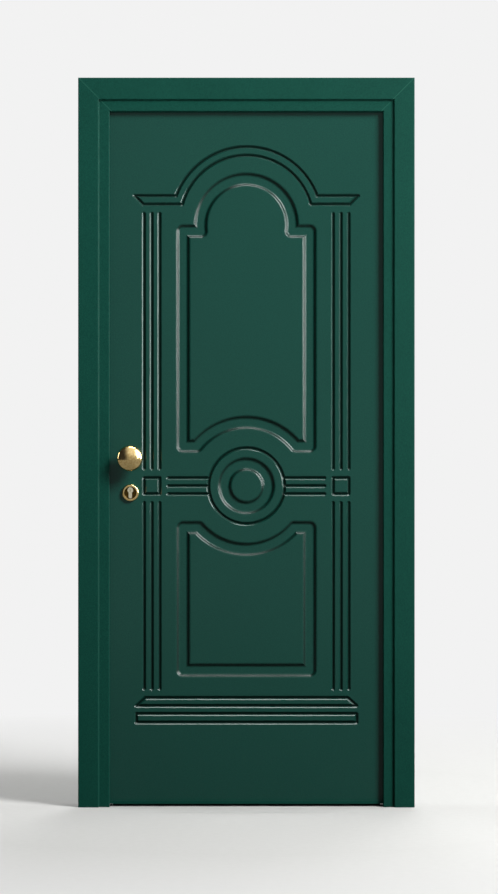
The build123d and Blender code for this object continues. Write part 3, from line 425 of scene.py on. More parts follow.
# Stove enamel on the hinge wings: dark green, nearly black, satin.
HINGE_PAINT = Finish(
    "painted_hinge_steel",
    "stove_enamel_on_steel",
    dark="#1B2623",
    light="#2A3733",
    roughness=(0.38, 0.50),
    grain_mm=2.0,
    bump_mm=0.02,
    specular=0.4,
)
# Polished brass under a clear lacquer: mirror bright, with faint clouds where fingers dulled it.
BRASS = Finish(
    "polished_brass",
    "polished_lacquered_brass",
    dark="#BFA060",
    light="#E4CC94",
    roughness=(0.10, 0.20),
    grain_mm=6.0,
    bump_mm=0.002,
    metallic=1.0,
    cloud_mm=14.0,
)
# The same brass with shade and dark reflection painted into the dish of an escutcheon: dark brown.
DISH_BRASS = DishedBrass(
    **vars(BRASS) | {"name": "polished_brass_with_painted_dark_dish", "stain_and_shade": "#4A3A16"},
    centre_mm=(-349.0, 943.6),
    dish_mm=18.4,
)
# Satin nickel on brass: pale and warm, with short brush lines drawn coarser than the real ones.
NICKEL = Finish(
    "nickelled_brass",
    "satin_nickel_on_brass",
    dark="#CFC7A6",
    light="#ECE5C8",
    roughness=(0.22, 0.36),
    grain_mm=0.9,
    bump_mm=0.003,
    pattern=Pattern.BRUSHED,
    metallic=1.0,
    stretch=(1.0, 0.2, 1.0),
)
# Extruded rubber: matt black with a bloom that greys it in places.
RUBBER = Finish(
    "black_rubber",
    "extruded_black_rubber",
    dark="#141414",
    light="#232322",
    roughness=(0.62, 0.80),
    grain_mm=1.4,
    bump_mm=0.02,
    specular=0.3,
    cloud_mm=60.0,
)
# Mineral wool: felted yellow fibres, all of it matt.
WOOL = Finish(
    "mineral_wool",
    "felted_mineral_wool",
    dark="#8E7F4A",
    light="#C9BC86",
    roughness=(0.9, 1.0),
    grain_mm=7.0,
    bump_mm=0.6,
    pattern=Pattern.FIBRE,
    specular=0.1,
    stretch=(0.5, 1.0, 1.6),
)
# Mill aluminium: dull and pale, with lines along the way it left the die.
ALUMINIUM = Finish(
    "mill_aluminium",
    "extruded_mill_aluminium",
    dark="#B9BBBD",
    light="#DADCDD",
    roughness=(0.30, 0.46),
    grain_mm=1.1,
    bump_mm=0.004,
    pattern=Pattern.BRUSHED,
    metallic=1.0,
    stretch=(0.05, 1.0, 1.0),
)


def place_mesh(name: str, mesh: bpy.types.Mesh, finish: Finish, body: str, *nodes: str) -> None:
    """Put a finished mesh into the scene in place of solids of the part.

    Args:
        name: Name of the piece.
        mesh: Mesh whose places are in the part's own frame.
        finish: Finish of the piece.
        body: Body that carries it.
        *nodes: Solids that it stands for.
    """
    piece = bpy.data.objects.new(name, mesh)
    bpy.context.scene.collection.objects.link(piece)
    if not mesh.materials:
        mesh.materials.append(finish.material())
    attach(piece, body)
    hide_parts(*nodes)
    log.info("%s: %d faces on %s", name, len(mesh.polygons), body)


class Bit(Enum):
    """Router bit that made a groove."""

    VEE = "pointed"
    OGEE = "wide, with a cove and a round"


@dataclass(frozen=True)
class Cut:
    """Section of a groove, in millimetres from its middle line.

    Attributes:
        half: Half the width at the face.
        depth: Depth in the middle.
        floor: Half the width of the flat bottom.
        bow: Radius of the cove and of the round, none for straight flanks.
        steps: Flank strips on each side.
        flank_shade: Painted shade in the middle of a curved flank.
    """

    half: float
    depth: float
    floor: float = 0.0
    bow: float = 0.0
    steps: int = 1
    flank_shade: float = 0.75

    def depth_at(self, away: np.ndarray) -> np.ndarray:
        """Depth of the cut.

        Args:
            away: Distances from the middle line.

        Returns:
            Depths, zero outside the groove.
        """
        if not self.bow:
            return np.clip(self.depth * (1 - away / self.half), 0, None)
        inner = np.clip(away, self.floor, self.half)
        middle = (self.floor + self.half) / 2
        cove = self.depth - self.bow + np.sqrt(np.clip(self.bow**2 - (inner - self.floor) ** 2, 0, None))
        roll = self.bow - np.sqrt(np.clip(self.bow**2 - (self.half - inner) ** 2, 0, None))
        return np.where(inner < middle, cove, roll)

    def shade_at(self, away: np.ndarray) -> np.ndarray:
        """How much shade is painted into the lacquer: at the bottom of a pointed cut, halfway down the flanks
        of a wide one.

        Args:
            away: Distances from the middle line.

        Returns:
            Shares between zero and one.
        """
        share = self.depth_at(away) / self.depth
        return 4 * share * (1 - share) * self.flank_shade if self.bow else share

    def rails(self) -> list[float]:
        """Distances of the lines where the section bends."""
        return list(np.linspace(self.floor, self.half, self.steps + 1))


@dataclass(frozen=True)
class Line:
    """Straight stretch of a groove's middle line.

    Attributes:
        start: First point.
        end: Last point.
    """

    start: Point
    end: Point

    @property
    def tangents(self) -> tuple[np.ndarray, np.ndarray]:
        """Find the unit directions at the start and at the end.

        Returns:
            The same direction twice.
        """
        way = np.subtract(self.end, self.start)
        way = way / np.hypot(*way)
        return way, way

    def away(self, spots: np.ndarray) -> np.ndarray:
        """Distances of points from the stretch.

        Args:
            spots: Points, one a row.

        Returns:
            Distances.
        """
        start = np.array(self.start)
        run = np.array(self.end) - start
        share = np.clip((spots - start) @ run / (run @ run), 0, 1)
        return np.hypot(*(spots - start - share[:, None] * run).T)

    def rail(self, shift: float, pace: float) -> np.ndarray:
        """Points along the stretch, moved to its left.

        Args:
            shift: Distance to the left.
            pace: Longest step between points.

        Returns:
            Points, one a row.
        """
        way = self.tangents[0]
        count = max(2, math.ceil(math.dist(self.start, self.end) / pace) + 1)
        shares = np.linspace(0, 1, count)[:, None]
        spots = np.array(self.start) * (1 - shares) + np.array(self.end) * shares
        return spots + shift * np.array([-way[1], way[0]])


@dataclass(frozen=True)
class Arc:
    """Round stretch of a groove's middle line, anticlockwise.

    Attributes:
        centre: Centre of the arc.
        radius: Its radius.
        first: Angle of the start, in radians.
        last: Angle of the end, in radians.
    """

    centre: Point
    radius: float
    first: float
    last: float

    def at(self, angle: float) -> Point:
        """Point of the arc at an angle."""
        x, z = self.centre
        return x + self.radius * math.cos(angle), z + self.radius * math.sin(angle)

    @property
    def start(self) -> Point:
        """First point."""
        return self.at(self.first)

    @property
    def end(self) -> Point:
        """Last point."""
        return self.at(self.last)

    @property
    def tangents(self) -> tuple[np.ndarray, np.ndarray]:
        """Unit directions at the start and at the end."""
        return tuple(np.array([-math.sin(a), math.cos(a)]) for a in (self.first, self.last))

    def away(self, spots: np.ndarray) -> np.ndarray:
        """Distances of points from the stretch.

        Args:
            spots: Points, one a row.

        Returns:
            Distances.
        """
        dx, dz = (spots - np.array(self.centre)).T
        turn = (np.arctan2(dz, dx) - self.first) % math.tau
        to_start, to_end = (np.hypot(*(spots - np.array(tip)).T) for tip in (self.start, self.end))
        beside = turn <= self.last - self.first + SAME_ANGLE
        return np.where(beside, np.abs(np.hypot(dx, dz) - self.radius), np.minimum(to_start, to_end))

    def rail(self, shift: float, pace: float) -> np.ndarray:
        """Points along the stretch, moved to its left, which is inwards.

        Args:
            shift: Distance to the left.
            pace: Longest step between points on the middle line.

        Returns:
            Points, one a row.
        """
        count = max(3, math.ceil((self.last - self.first) * self.radius / pace) + 1)
        angles = np.linspace(self.first, self.last, count)
        reach = self.radius - shift
        return np.array(self.centre) + reach * np.column_stack([np.cos(angles), np.sin(angles)])


Stretch = Line | Arc


@dataclass
class Sketch:
    """Flat drawing whose points are made one where they nearly meet.

    Attributes:
        cell: Size of the squares that points are sorted into.
        spots: Points of the drawing.
        edges: Pairs of point numbers.
        known: Square to the number of its point.
    """

    cell: float
    spots: list[Point] = field(default_factory=list)
    edges: set[tuple[int, int]] = field(default_factory=set)
    known: dict[tuple[int, int], int] = field(default_factory=dict)

    def number(self, spot: np.ndarray) -> int:
        """Number of a point, shared by those in the same square and in the squares around it.

        Args:
            spot: The point.

        Returns:
            Its number.
        """
        across, up = (round(value / self.cell) for value in spot)
        for step in [(i, j) for i in (0, -1, 1) for j in (0, -1, 1)]:
            near = (across + step[0], up + step[1])
            if near in self.known:
                return self.known[near]
        self.known[across, up] = len(self.spots)
        self.spots.append((float(spot[0]), float(spot[1])))
        return self.known[across, up]

    def draw(self, line: Iterable[np.ndarray]) -> None:
        """Keep a line's points and the edges between them.

        Args:
            line: Points in order.
        """
        numbers = [self.number(spot) for spot in line]
        self.edges.update((a, b) for a, b in zip(numbers, numbers[1:]) if a != b)


@dataclass
class CarvedPanel:
    """Outer panel of the leaf, routed with panels, medallion, flutes, cornice and base.

    Lengths are in millimetres, and places are shares of the doorway's half width and height.
    """

    opening_half: float = 411.0
    opening_top: float = 2089.42
    medallion_z: float = 0.4616
    medallion: float = 0.2774
    ring: float = 0.1596
    panel_half: float = 0.4635
    arch: float = 0.3343
    arch_z: float = 0.8374
    shoulder_z: float = 0.8285
    upper_foot_z: float = 0.5190
    scoop: float = 0.4650
    lower_shoulder_z: float = 0.4013
    lower_foot_z: float = 0.1960
    cornice_arch: float = 0.5499
    cornice_centre_z: float = 0.8417
    cornice_z: float = 0.8794
    cornice_half: float = 0.8175
    cornice_band: float = 25.5
    flute: float = 0.6350
    flute_pitch: float = 23.4
    flute_count: int = 3
    flute_spans: tuple[Point, ...] = ((0.4867, 0.8536), (0.1694, 0.4372))
    bar_pitch: float = 24.0
    bar_outer: float = 0.5718
    plinth_top_z: float = 0.1564
    plinth_top_half: float = 0.7420
    plinth_band: float = 24.0
    plinth_half: float = 0.8066
    skirting_top_z: float = 0.1334
    skirting_band: float = 26.0
    # Holes for the knob's stud and the cylinder, and the points that draw their rounds.
    handle_x: float = -349.0
    stud_z: float = 1047.6
    stud_radius: float = 5.05
    stud_points: int = 32
    plug_z: float = 951.6
    plug_radius: float = 9.1
    plug_points: int = 33
    plug_leg: float = 5.6
    plug_drop: float = 19.5
    leg_points: int = 13
    cuts: dict[Bit, Cut] = field(
        default_factory=lambda: {
            Bit.VEE: Cut(half=6.2, depth=5.6),
            Bit.OGEE: Cut(half=24.0, depth=8.0, floor=8.0, bow=10.0, steps=10),
        }
    )
    chains: dict[Bit, list[list[Stretch]]] = field(default_factory=lambda: {bit: [] for bit in Bit})
    # Fineness of the mesh: step along a line, degrees a step round a corner, the least corner in radians and
    # the halvings that find where a line is cut away.
    pace: float = 3.0
    corner_step: float = 9.0
    least_corner: float = 1e-3
    halvings: int = 12
    # Slack for lines that meet, size of a square in which points are made one, the gap that the triangles
    # may leave, and the decimals by which a point is found again.
    slack: float = 0.01
    weld: float = 0.05
    least_gap: float = 1e-4
    decimals: int = 2
    # The slope at a corner is read a share of the way into its face, over a small step.
    inset_share: float = 0.05
    nudge: float = 0.02

    def x(self, share: float) -> float:
        """Place across the leaf for a share of the half width."""
        return share * self.opening_half

    def z(self, share: float) -> float:
        """Height on the leaf for a share of the doorway's height."""
        return share * self.opening_top

    def chain(self, bit: Bit, *corners: Point) -> None:
        """Cut along straight lines and along their mirror image.

        Args:
            bit: Bit that cuts.
            *corners: Corners of the line on the right half.
        """
        for side in (1, -1):
            spots = [(side * x, z) for x, z in corners]
            self.chains[bit].append([Line(a, b) for a, b in zip(spots, spots[1:])])

    def crown(self, bit: Bit, centre_z: float, radius: float, rise: float, over: bool = True) -> float:
        """Cut an arc that is centred on the leaf's middle.

        Args:
            bit: Bit that cuts.
            centre_z: Height of the centre.
            radius: Radius of the middle line.
            rise: Height of the arc's feet above the centre.
            over: Whether the arc passes over the centre.

        Returns:
            Distance of each foot from the middle.
        """
        angle = math.asin(rise / radius)
        span = (angle, math.pi - angle) if over else (math.pi - angle, math.tau + angle)
        self.chains[bit].append([Arc((0.0, centre_z), radius, *span)])
        return math.sqrt(radius**2 - rise**2)

    def lay_panels(self) -> None:
        """Draw the borders of the arched upper panel and the lower one, both scooped at the medallion."""
        heart, half = self.z(self.medallion_z), self.x(self.panel_half)
        shoulder, foot = self.z(self.shoulder_z), self.z(self.upper_foot_z)
        arch_z = self.z(self.arch_z)
        arch_foot = self.crown(Bit.OGEE, arch_z, self.x(self.arch), shoulder - arch_z)
        scoop_foot = self.crown(Bit.OGEE, heart, self.x(self.scoop), foot - heart)
        self.chain(Bit.OGEE, (arch_foot, shoulder), (half, shoulder), (half, foot), (scoop_foot, foot))
        shoulder, foot = self.z(self.lower_shoulder_z), self.z(self.lower_foot_z)
        scoop_foot = self.crown(Bit.OGEE, heart, self.x(self.scoop), shoulder - heart, over=False)
        self.chain(Bit.OGEE, (scoop_foot, shoulder), (half, shoulder), (half, foot), (0.0, foot))

    def lay_medallion(self) -> None:
        """Draw the medallion's two rings and the bars on both sides of it."""
        heart, ring = self.z(self.medallion_z), self.x(self.medallion)
        for bit, radius in ((Bit.OGEE, self.x(self.ring)), (Bit.VEE, ring)):
            self.chains[bit].append([Arc((0.0, heart), radius, -math.pi / 2, math.pi * 1.5)])
        for step in (-1, 0, 1):
            rise = step * self.bar_pitch
            start = math.sqrt(ring**2 - rise**2)
            self.chain(Bit.VEE, (start, heart + rise), (self.x(self.bar_outer), heart + rise))

    def lay_flutes(self) -> None:
        """Draw the flutes above and below the bars, and the squares between them."""
        near = self.x(self.flute)
        for step in range(self.flute_count):
            for low, high in self.flute_spans:
                spot = near + step * self.flute_pitch
                self.chain(Bit.VEE, (spot, self.z(low)), (spot, self.z(high)))
        far = near + (self.flute_count - 1) * self.flute_pitch
        heart = self.z(self.medallion_z)
        low, high = heart - self.bar_pitch, heart + self.bar_pitch
        self.chain(Bit.VEE, (near, low), (far, low), (far, high), (near, high), (near, low))

    def lay_cornice(self) -> None:
        """Draw the two lines of the arched cornice and its mitred ends."""
        centre, line = self.z(self.cornice_centre_z), self.z(self.cornice_z)
        tip = self.x(self.cornice_half)
        for inset in (0.0, self.cornice_band):
            radius = self.x(self.cornice_arch) - inset
            start = self.crown(Bit.VEE, centre, radius, line - inset - centre)
            self.chain(Bit.VEE, (start, line - inset), (tip - inset, line - inset))
        self.chain(Bit.VEE, (tip, line), (tip - self.cornice_band, line - self.cornice_band))

    def lay_base(self) -> None:
        """Draw the splayed plinth and the skirting under it."""
        splay = self.x(self.plinth_half)
        bands = (
            (self.plinth_top_z, self.plinth_band, self.x(self.plinth_top_half)),
            (self.skirting_top_z, self.skirting_band, splay),
        )
        for share, band, half in bands:
            top, bottom = self.z(share), self.z(share) - band
            self.chain(Bit.VEE, (0.0, top), (half, top), (splay, bottom), (0.0, bottom))

    def away(self, bit: Bit, spots: np.ndarray) -> np.ndarray:
        """Distances from the nearest groove of one bit.

        Args:
            bit: Bit that cuts.
            spots: Points, one a row.

        Returns:
            Distances.
        """
        return np.min([stretch.away(spots) for chain in self.chains[bit] for stretch in chain], axis=0)

    def depth(self, spots: np.ndarray) -> np.ndarray:
        """Depth of the carving at points, one a row."""
        return np.max([cut.depth_at(self.away(bit, spots)) for bit, cut in self.cuts.items()], axis=0)

    def shade(self, spots: np.ndarray) -> np.ndarray:
        """Shade painted into the carving at points, one a row."""
        return np.max([cut.shade_at(self.away(bit, spots)) for bit, cut in self.cuts.items()], axis=0)

    def shows(self, bit: Bit, shift: float, spots: np.ndarray) -> np.ndarray:
        """Whether a bend line is really there, or cut away by another groove.

        Args:
            bit: Bit that made the line.
            shift: Distance of the line from its middle line.
            spots: Points on the line.

        Returns:
            True for the points that show.
        """
        own = self.cuts[bit].depth_at(np.array([shift]))[0]
        shown = self.away(bit, spots) > shift - self.slack
        for other, cut in self.cuts.items():
            if other is not bit:
                shown &= cut.depth_at(self.away(other, spots)) < own + self.slack
        return shown

    def shown_runs(self, bit: Bit, shift: float, spots: np.ndarray) -> Iterable[np.ndarray]:
        """Split a bend line into the runs that show, ending each where it is cut away.

        Args:
            bit: Bit that made the line.
            shift: Distance of the line from its middle line.
            spots: Points on the line.

        Yields:
            Points of one run.
        """
        shown = self.shows(bit, shift, spots)
        run: list[np.ndarray] = [spots[0]] if shown[0] else []
        for here in range(1, len(spots)):
            if shown[here] != shown[here - 1]:
                good, bad = (here - 1, here) if shown[here - 1] else (here, here - 1)
                inside, outside = spots[good], spots[bad]
                for _ in range(self.halvings):
                    middle = (inside + outside) / 2
                    if self.shows(bit, shift, middle[None])[0]:
                        inside = middle
                    else:
                        outside = middle
                run.append(inside)
                if shown[here - 1]:
                    yield np.array(run)
                    run = []
            if shown[here]:
                run.append(spots[here])
        if len(run) > 1:
            yield np.array(run)

    def corner_rails(self, chain: Sequence[Stretch], shift: float) -> Iterable[np.ndarray]:
        """Round the outer side of a chain's corners and its open ends.

        Args:
            chain: Stretches of one groove.
            shift: Distance of the bend line from the middle line.

        Yields:
            Points of one round.
        """
        start, end = chain[0].tangents[0], chain[-1].tangents[1]
        turns = [(a.end, a.tangents[1], b.tangents[0]) for a, b in zip(chain, chain[1:])]
        if math.dist(chain[0].start, chain[-1].end) < self.slack:
            turns.append((chain[-1].end, end, start))
        else:
            turns += [(chain[-1].end, end, -end), (chain[0].start, -start, start)]
        for spot, before, after in turns:
            cross = before[0] * after[1] - before[1] * after[0]
            sweep = math.atan2(cross, before @ after)
            if abs(sweep) < self.least_corner:
                continue
            first = math.atan2(before[1], before[0]) + (-math.pi / 2 if sweep > 0 else math.pi / 2)
            count = max(3, math.ceil(abs(sweep) / math.radians(self.corner_step)) + 1)
            angles = np.linspace(first, first + sweep, count)
            yield np.array(spot) + shift * np.column_stack([np.cos(angles), np.sin(angles)])

    def bend_lines(self) -> Iterable[np.ndarray]:
        """All lines where the carved face bends.

        Yields:
            Points of one line.
        """
        for bit, cut in self.cuts.items():
            for chain in self.chains[bit]:
                for shift in cut.rails():
                    for stretch in chain:
                        for side in (1, -1) if shift else (1,):
                            rail = stretch.rail(side * shift, self.pace)
                            for run in self.shown_runs(bit, shift, rail):
                                yield run[[0, -1]] if isinstance(stretch, Line) else run
                    if shift:
                        for rail in self.corner_rails(chain, shift):
                            yield from self.shown_runs(bit, shift, rail)

    def hole_loops(self) -> list[np.ndarray]:
        """Outlines of the holes for the knob's stud and the cylinder.

        Returns:
            Points of the two outlines, one a row.
        """
        ring = np.linspace(0, math.tau, self.stud_points, endpoint=False)
        bite = math.asin(self.plug_leg / self.plug_radius)
        upper = np.linspace(-math.pi / 2 + bite, math.pi * 1.5 - bite, self.plug_points)
        lower = np.linspace(math.pi, math.tau, self.leg_points)
        stud, body, leg = (np.column_stack([np.cos(a), np.sin(a)]) for a in (ring, upper, lower))
        plug = np.vstack([body * self.plug_radius, leg * self.plug_leg - (0, self.plug_drop)])
        return [stud * self.stud_radius + (self.handle_x, self.stud_z), plug + (self.handle_x, self.plug_z)]

    def in_holes(self, spots: np.ndarray) -> np.ndarray:
        """Whether points lie in a hole.

        Args:
            spots: Points, one a row.

        Returns:
            True for the points in a hole.
        """
        across, height = np.abs(spots[:, 0] - self.handle_x), spots[:, 1]
        stud = np.hypot(across, height - self.stud_z) < self.stud_radius
        drop = height - self.plug_z
        leg = (across < self.plug_leg) & (drop < 0) & (drop > -self.plug_drop)
        end = np.hypot(across, drop + self.plug_drop) < self.plug_leg
        return stud | (np.hypot(across, drop) < self.plug_radius) | leg | end

    def triangulate(self, loops: list[np.ndarray]) -> tuple[np.ndarray, np.ndarray]:
        """Cut the face into triangles along all its bend lines.

        Args:
            loops: Outlines of the panel and of its holes.

        Returns:
            Points of the face, and three point numbers for each triangle.
        """
        sketch = Sketch(self.weld)
        for loop in loops:
            sketch.draw([*loop, loop[0]])
        for line in self.bend_lines():
            sketch.draw(line)
        spots = [Vector(spot) for spot in sketch.spots]
        flat, _, faces, *_ = delaunay_2d_cdt(spots, sorted(sketch.edges), [], 0, self.least_gap)
        plan = np.array([tuple(spot) for spot in flat])
        faces = np.array([face for face in faces if len(face) == 3])
        return plan, faces[~self.in_holes(plan[faces].mean(1))]

    def rear_faces(self, plan: np.ndarray, rims: list[list[int]]) -> list[tuple[int, ...]]:
        """Faces round the edges and on the back, where a point lies behind each point of the outlines.

        Args:
            plan: Points of the face.
            rims: Point numbers of the outlines, the panel's own first.

        Returns:
            Point numbers of each face.
        """
        ends = [number for rim in rims for number in rim]
        order = {number: place for place, number in enumerate(ends)}
        faces: list[tuple[int, ...]] = []
        ties: list[tuple[int, int]] = []
        for place, rim in enumerate(rims):
            for a, b in zip(rim, rim[1:] + rim[:1]):
                ties.append((order[a], order[b]))
                a, b = (a, b) if place else (b, a)
                faces.append((a, b, len(plan) + order[b], len(plan) + order[a]))
        seen, _, caps, *_ = delaunay_2d_cdt([Vector(plan[n]) for n in ends], ties, [], 0, self.least_gap)
        middles = np.array([np.mean([tuple(seen[i]) for i in cap], axis=0) for cap in caps])
        for cap, holed in zip(caps, self.in_holes(middles)):
            if not holed:
                faces.append(tuple(len(plan) + i for i in reversed(cap)))
        return faces

    def face_normals(self, plan: np.ndarray, faces: np.ndarray) -> np.ndarray:
        """Slope of the carving at the corners of each face, read just inside the face.

        Args:
            plan: Points of the face.
            faces: Three points each.

        Returns:
            One normal for each corner.
        """
        corners = plan[faces]
        middles = corners.mean(1, keepdims=True)
        inside = (corners * (1 - self.inset_share) + middles * self.inset_share).reshape(-1, 2)
        steps = self.nudge * np.eye(2)
        tilts = [(self.depth(inside + step) - self.depth(inside - step)) / (2 * self.nudge) for step in steps]
        normals = np.column_stack([tilts[0], -np.ones(len(inside)), tilts[1]])
        return normals / np.linalg.norm(normals, axis=1, keepdims=True)

    def build(self) -> bpy.types.Mesh:
        """Make the carved panel as one closed mesh.

        Returns:
            Mesh with smooth grooves and sharp arrises.
        """
        for lay in (self.lay_panels, self.lay_medallion, self.lay_flutes, self.lay_cornice, self.lay_base):
            lay()
        low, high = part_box("carved_panel")
        left, front, bottom = low / MM
        right, back, top = high / MM
        rim = np.array([(left, bottom), (right, bottom), (right, top), (left, top)])
        loops = [rim, *self.hole_loops()]
        plan, faces = self.triangulate(loops)
        where = {tuple(spot): number for number, spot in enumerate(plan.round(self.decimals))}
        rims = [[where[tuple(spot)] for spot in loop.round(self.decimals)] for loop in loops]
        rear = self.rear_faces(plan, rims)
        verts = [(x * MM, (front + d) * MM, z * MM) for (x, z), d in zip(plan, self.depth(plan))]
        verts += [(plan[n][0] * MM, back * MM, plan[n][1] * MM) for rim in rims for n in rim]
        mesh = bpy.data.meshes.new("carved_panel_face")
        mesh.from_pydata(verts, [], faces.tolist() + rear)
        mesh.polygons.foreach_set("use_smooth", [True] * len(mesh.polygons))
        # Shade painted into the lacquer, kept on the mesh for its material: dark at the bottom of pointed
        # grooves and on the flanks of wide ones.
        shade = np.zeros(len(verts), np.float32)
        shade[: len(plan)] = self.shade(plan)
        mesh.attributes.new(GROOVE_SHADE, "FLOAT", "POINT").data.foreach_set("value", shade)
        flats = [tuple(face.normal) for face in mesh.polygons[len(faces) :] for _ in face.vertices]
        mesh.normals_split_custom_set([tuple(n) for n in self.face_normals(plan, faces)] + flats)
        mesh.update()
        return mesh

    def dress(self) -> None:
        """Put the lacquered panel on the leaf."""
        place_mesh("carved_panel_face", self.build(), LACQUER, "leaf", "carved_panel")


def grow(name: str, seed: bpy.types.Mesh, tree: Tree, sizes: dict[str, float]) -> bpy.types.Mesh:
    """Run a geometry tree on a mesh and keep the result as a plain mesh.

    Args:
        name: Name of the result.
        seed: Mesh that the tree starts from.
        tree: Geometry tree.
        sizes: Values for the tree's named inputs.

    Returns:
        Plain mesh.
    """
    holder = bpy.data.objects.new(name, seed)
    bpy.context.scene.collection.objects.link(holder)
    modifier = holder.modifiers.new(name, "NODES")
    modifier.node_group = tree
    for item in tree.interface.items_tree:
        if item.item_type == "SOCKET" and item.in_out == "INPUT" and item.name in sizes:
            modifier[item.identifier] = sizes[item.name]
    bpy.context.view_layer.update()
    ready = holder.evaluated_get(bpy.context.evaluated_depsgraph_get())
    mesh = bpy.data.meshes.new_from_object(ready)
    mesh.name = name
    holder.modifiers.remove(modifier)
    bpy.data.objects.remove(holder)
    return mesh


def new_tree(name: str, sizes: Iterable[str]) -> tuple[Tree, bpy.types.NodeOutputs]:
    """Start a geometry tree with named inputs.

    Args:
        name: Name of the tree.
        sizes: Names of its number inputs.

    Returns:
        The tree and the sockets that its inputs come from.
    """
    tree = bpy.data.node_groups.new(name, "GeometryNodeTree")
    for way in ("INPUT", "OUTPUT"):
        tree.interface.new_socket("Geometry", in_out=way, socket_type="NodeSocketGeometry")
    for label in sizes:
        tree.interface.new_socket(label, in_out="INPUT", socket_type="NodeSocketFloat")
    return tree, add_node(tree, "NodeGroupInput").outputs


def end_tree(tree: Tree, shape: Socket, finish: Finish) -> None:
    """End a geometry tree in a real mesh with its finish.

    Args:
        tree: Geometry tree.
        shape: Geometry to end with.
        finish: Finish of the result.
    """
    real = add_node(tree, "GeometryNodeRealizeInstances", {0: shape}).outputs[0]
    dressed = add_node(tree, "GeometryNodeSetMaterial", {"Geometry": real, "Material": finish.material()})
    add_node(tree, "NodeGroupOutput", {0: dressed.outputs[0]})


@dataclass
class Hinges:
    """Two hinges on the inner side, with countersunk socket screws. Lengths are in millimetres."""

    head: float = 5.0
    shank: float = 3.0
    sink: float = 2.0
    length: float = 14.0
    socket: float = 2.3
    socket_depth: float = 1.7
    head_sides: int = 32
    shank_sides: int = 24
    socket_sides: int = 6

    def sizes(self) -> dict[str, float]:
        """Sizes of a screw in metres, by the names of the tree's inputs."""
        names = ("head", "shank", "sink", "length", "socket", "socket_depth")
        return {name.replace("_", " ").title(): getattr(self, name) * MM for name in names}

    def screw_tree(self) -> Tree:
        """Build the tree that sets one screw on each point, its head's face on the point.

        Returns:
            Geometry tree.
        """
        tree, size = new_tree("socket_screws", self.sizes())
        cone = {"Radius Top": size["Head"], "Radius Bottom": size["Shank"], "Depth": size["Sink"]}
        head = add_node(tree, "GeometryNodeMeshCone", {"Vertices": self.head_sides, **cone})
        ends = {0: size["Length"], 1: size["Sink"]}
        rest = add_node(tree, "ShaderNodeMath", ends, operation="SUBTRACT").outputs[0]
        rod = {"Vertices": self.shank_sides, "Radius": size["Shank"], "Depth": rest}
        shank = add_node(tree, "GeometryNodeMeshCylinder", rod)
        low = add_node(tree, "ShaderNodeMath", {0: size["Sink"], 1: -1.0}, operation="MULTIPLY").outputs[0]
        both = add_node(tree, "ShaderNodeMath", ends, operation="ADD").outputs[0]
        middle = add_node(tree, "ShaderNodeMath", {0: both, 1: -0.5}, operation="MULTIPLY").outputs[0]
        lowered: list[Socket] = []
        for part, drop in ((head, low), (shank, middle)):
            offset = add_node(tree, "ShaderNodeCombineXYZ", {"Z": drop}).outputs[0]
            move = {"Geometry": part.outputs["Mesh"], "Translation": offset}
            lowered.append(add_node(tree, "GeometryNodeTransform", move).outputs[0])
        deep = {0: size["Socket Depth"], 1: 2.0}
        reach = add_node(tree, "ShaderNodeMath", deep, operation="MULTIPLY").outputs[0]
        bar = {"Vertices": self.socket_sides, "Radius": size["Socket"], "Depth": reach}
        key = add_node(tree, "GeometryNodeMeshCylinder", bar)
        bore = {"Mesh 1": lowered[0], "Mesh 2": key.outputs["Mesh"]}
        bored = add_node(tree, "GeometryNodeMeshBoolean", bore, operation="DIFFERENCE").outputs[0]
        screw = add_node(tree, "GeometryNodeJoinGeometry")
        for part in (bored, lowered[1]):
            tree.links.new(part, screw.inputs[0])
        copies = {
            "Points": size["Geometry"],
            "Instance": screw.outputs[0],
            "Rotation": (-math.pi / 2, 0.0, 0.0),
        }
        end_tree(tree, add_node(tree, "GeometryNodeInstanceOnPoints", copies).outputs[0], GROUND)
        return tree

    def places(self, node: str) -> list[Place]:
        """Middles of the screws' heads.

        Args:
            node: Node whose solids are the screws.

        Returns:
            One point for each screw, on the face of its head.
        """
        low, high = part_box(node)
        heights = np.sort([v.co.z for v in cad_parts[node].data.vertices])
        groups = np.split(heights, np.flatnonzero(np.diff(heights) > self.head * MM) + 1)
        return [((low.x + high.x) / 2, high.y, float(g.min() + g.max()) / 2) for g in groups]

    def dress(self) -> None:
        """Finish the hinges and set their screws."""
        wings = [f"{place}_hinge_{side}_wing" for place in ("lower", "upper") for side in ("frame", "leaf")]
        HINGE_PAINT.dress(*wings)
        GROUND.dress("hinge_pins", "hinge_dog_bolts")
        BRASS.dress("hinge_washers")
        tree = self.screw_tree()
        for side in ("frame", "leaf"):
            node = f"hinge_{side}_screws"
            seed = bpy.data.meshes.new(f"{side}_screw_places")
            seed.from_pydata(self.places(node), [], [])
            place_mesh(f"{side}_socket_screws", grow(node, seed, tree, self.sizes()), GROUND, side, node)


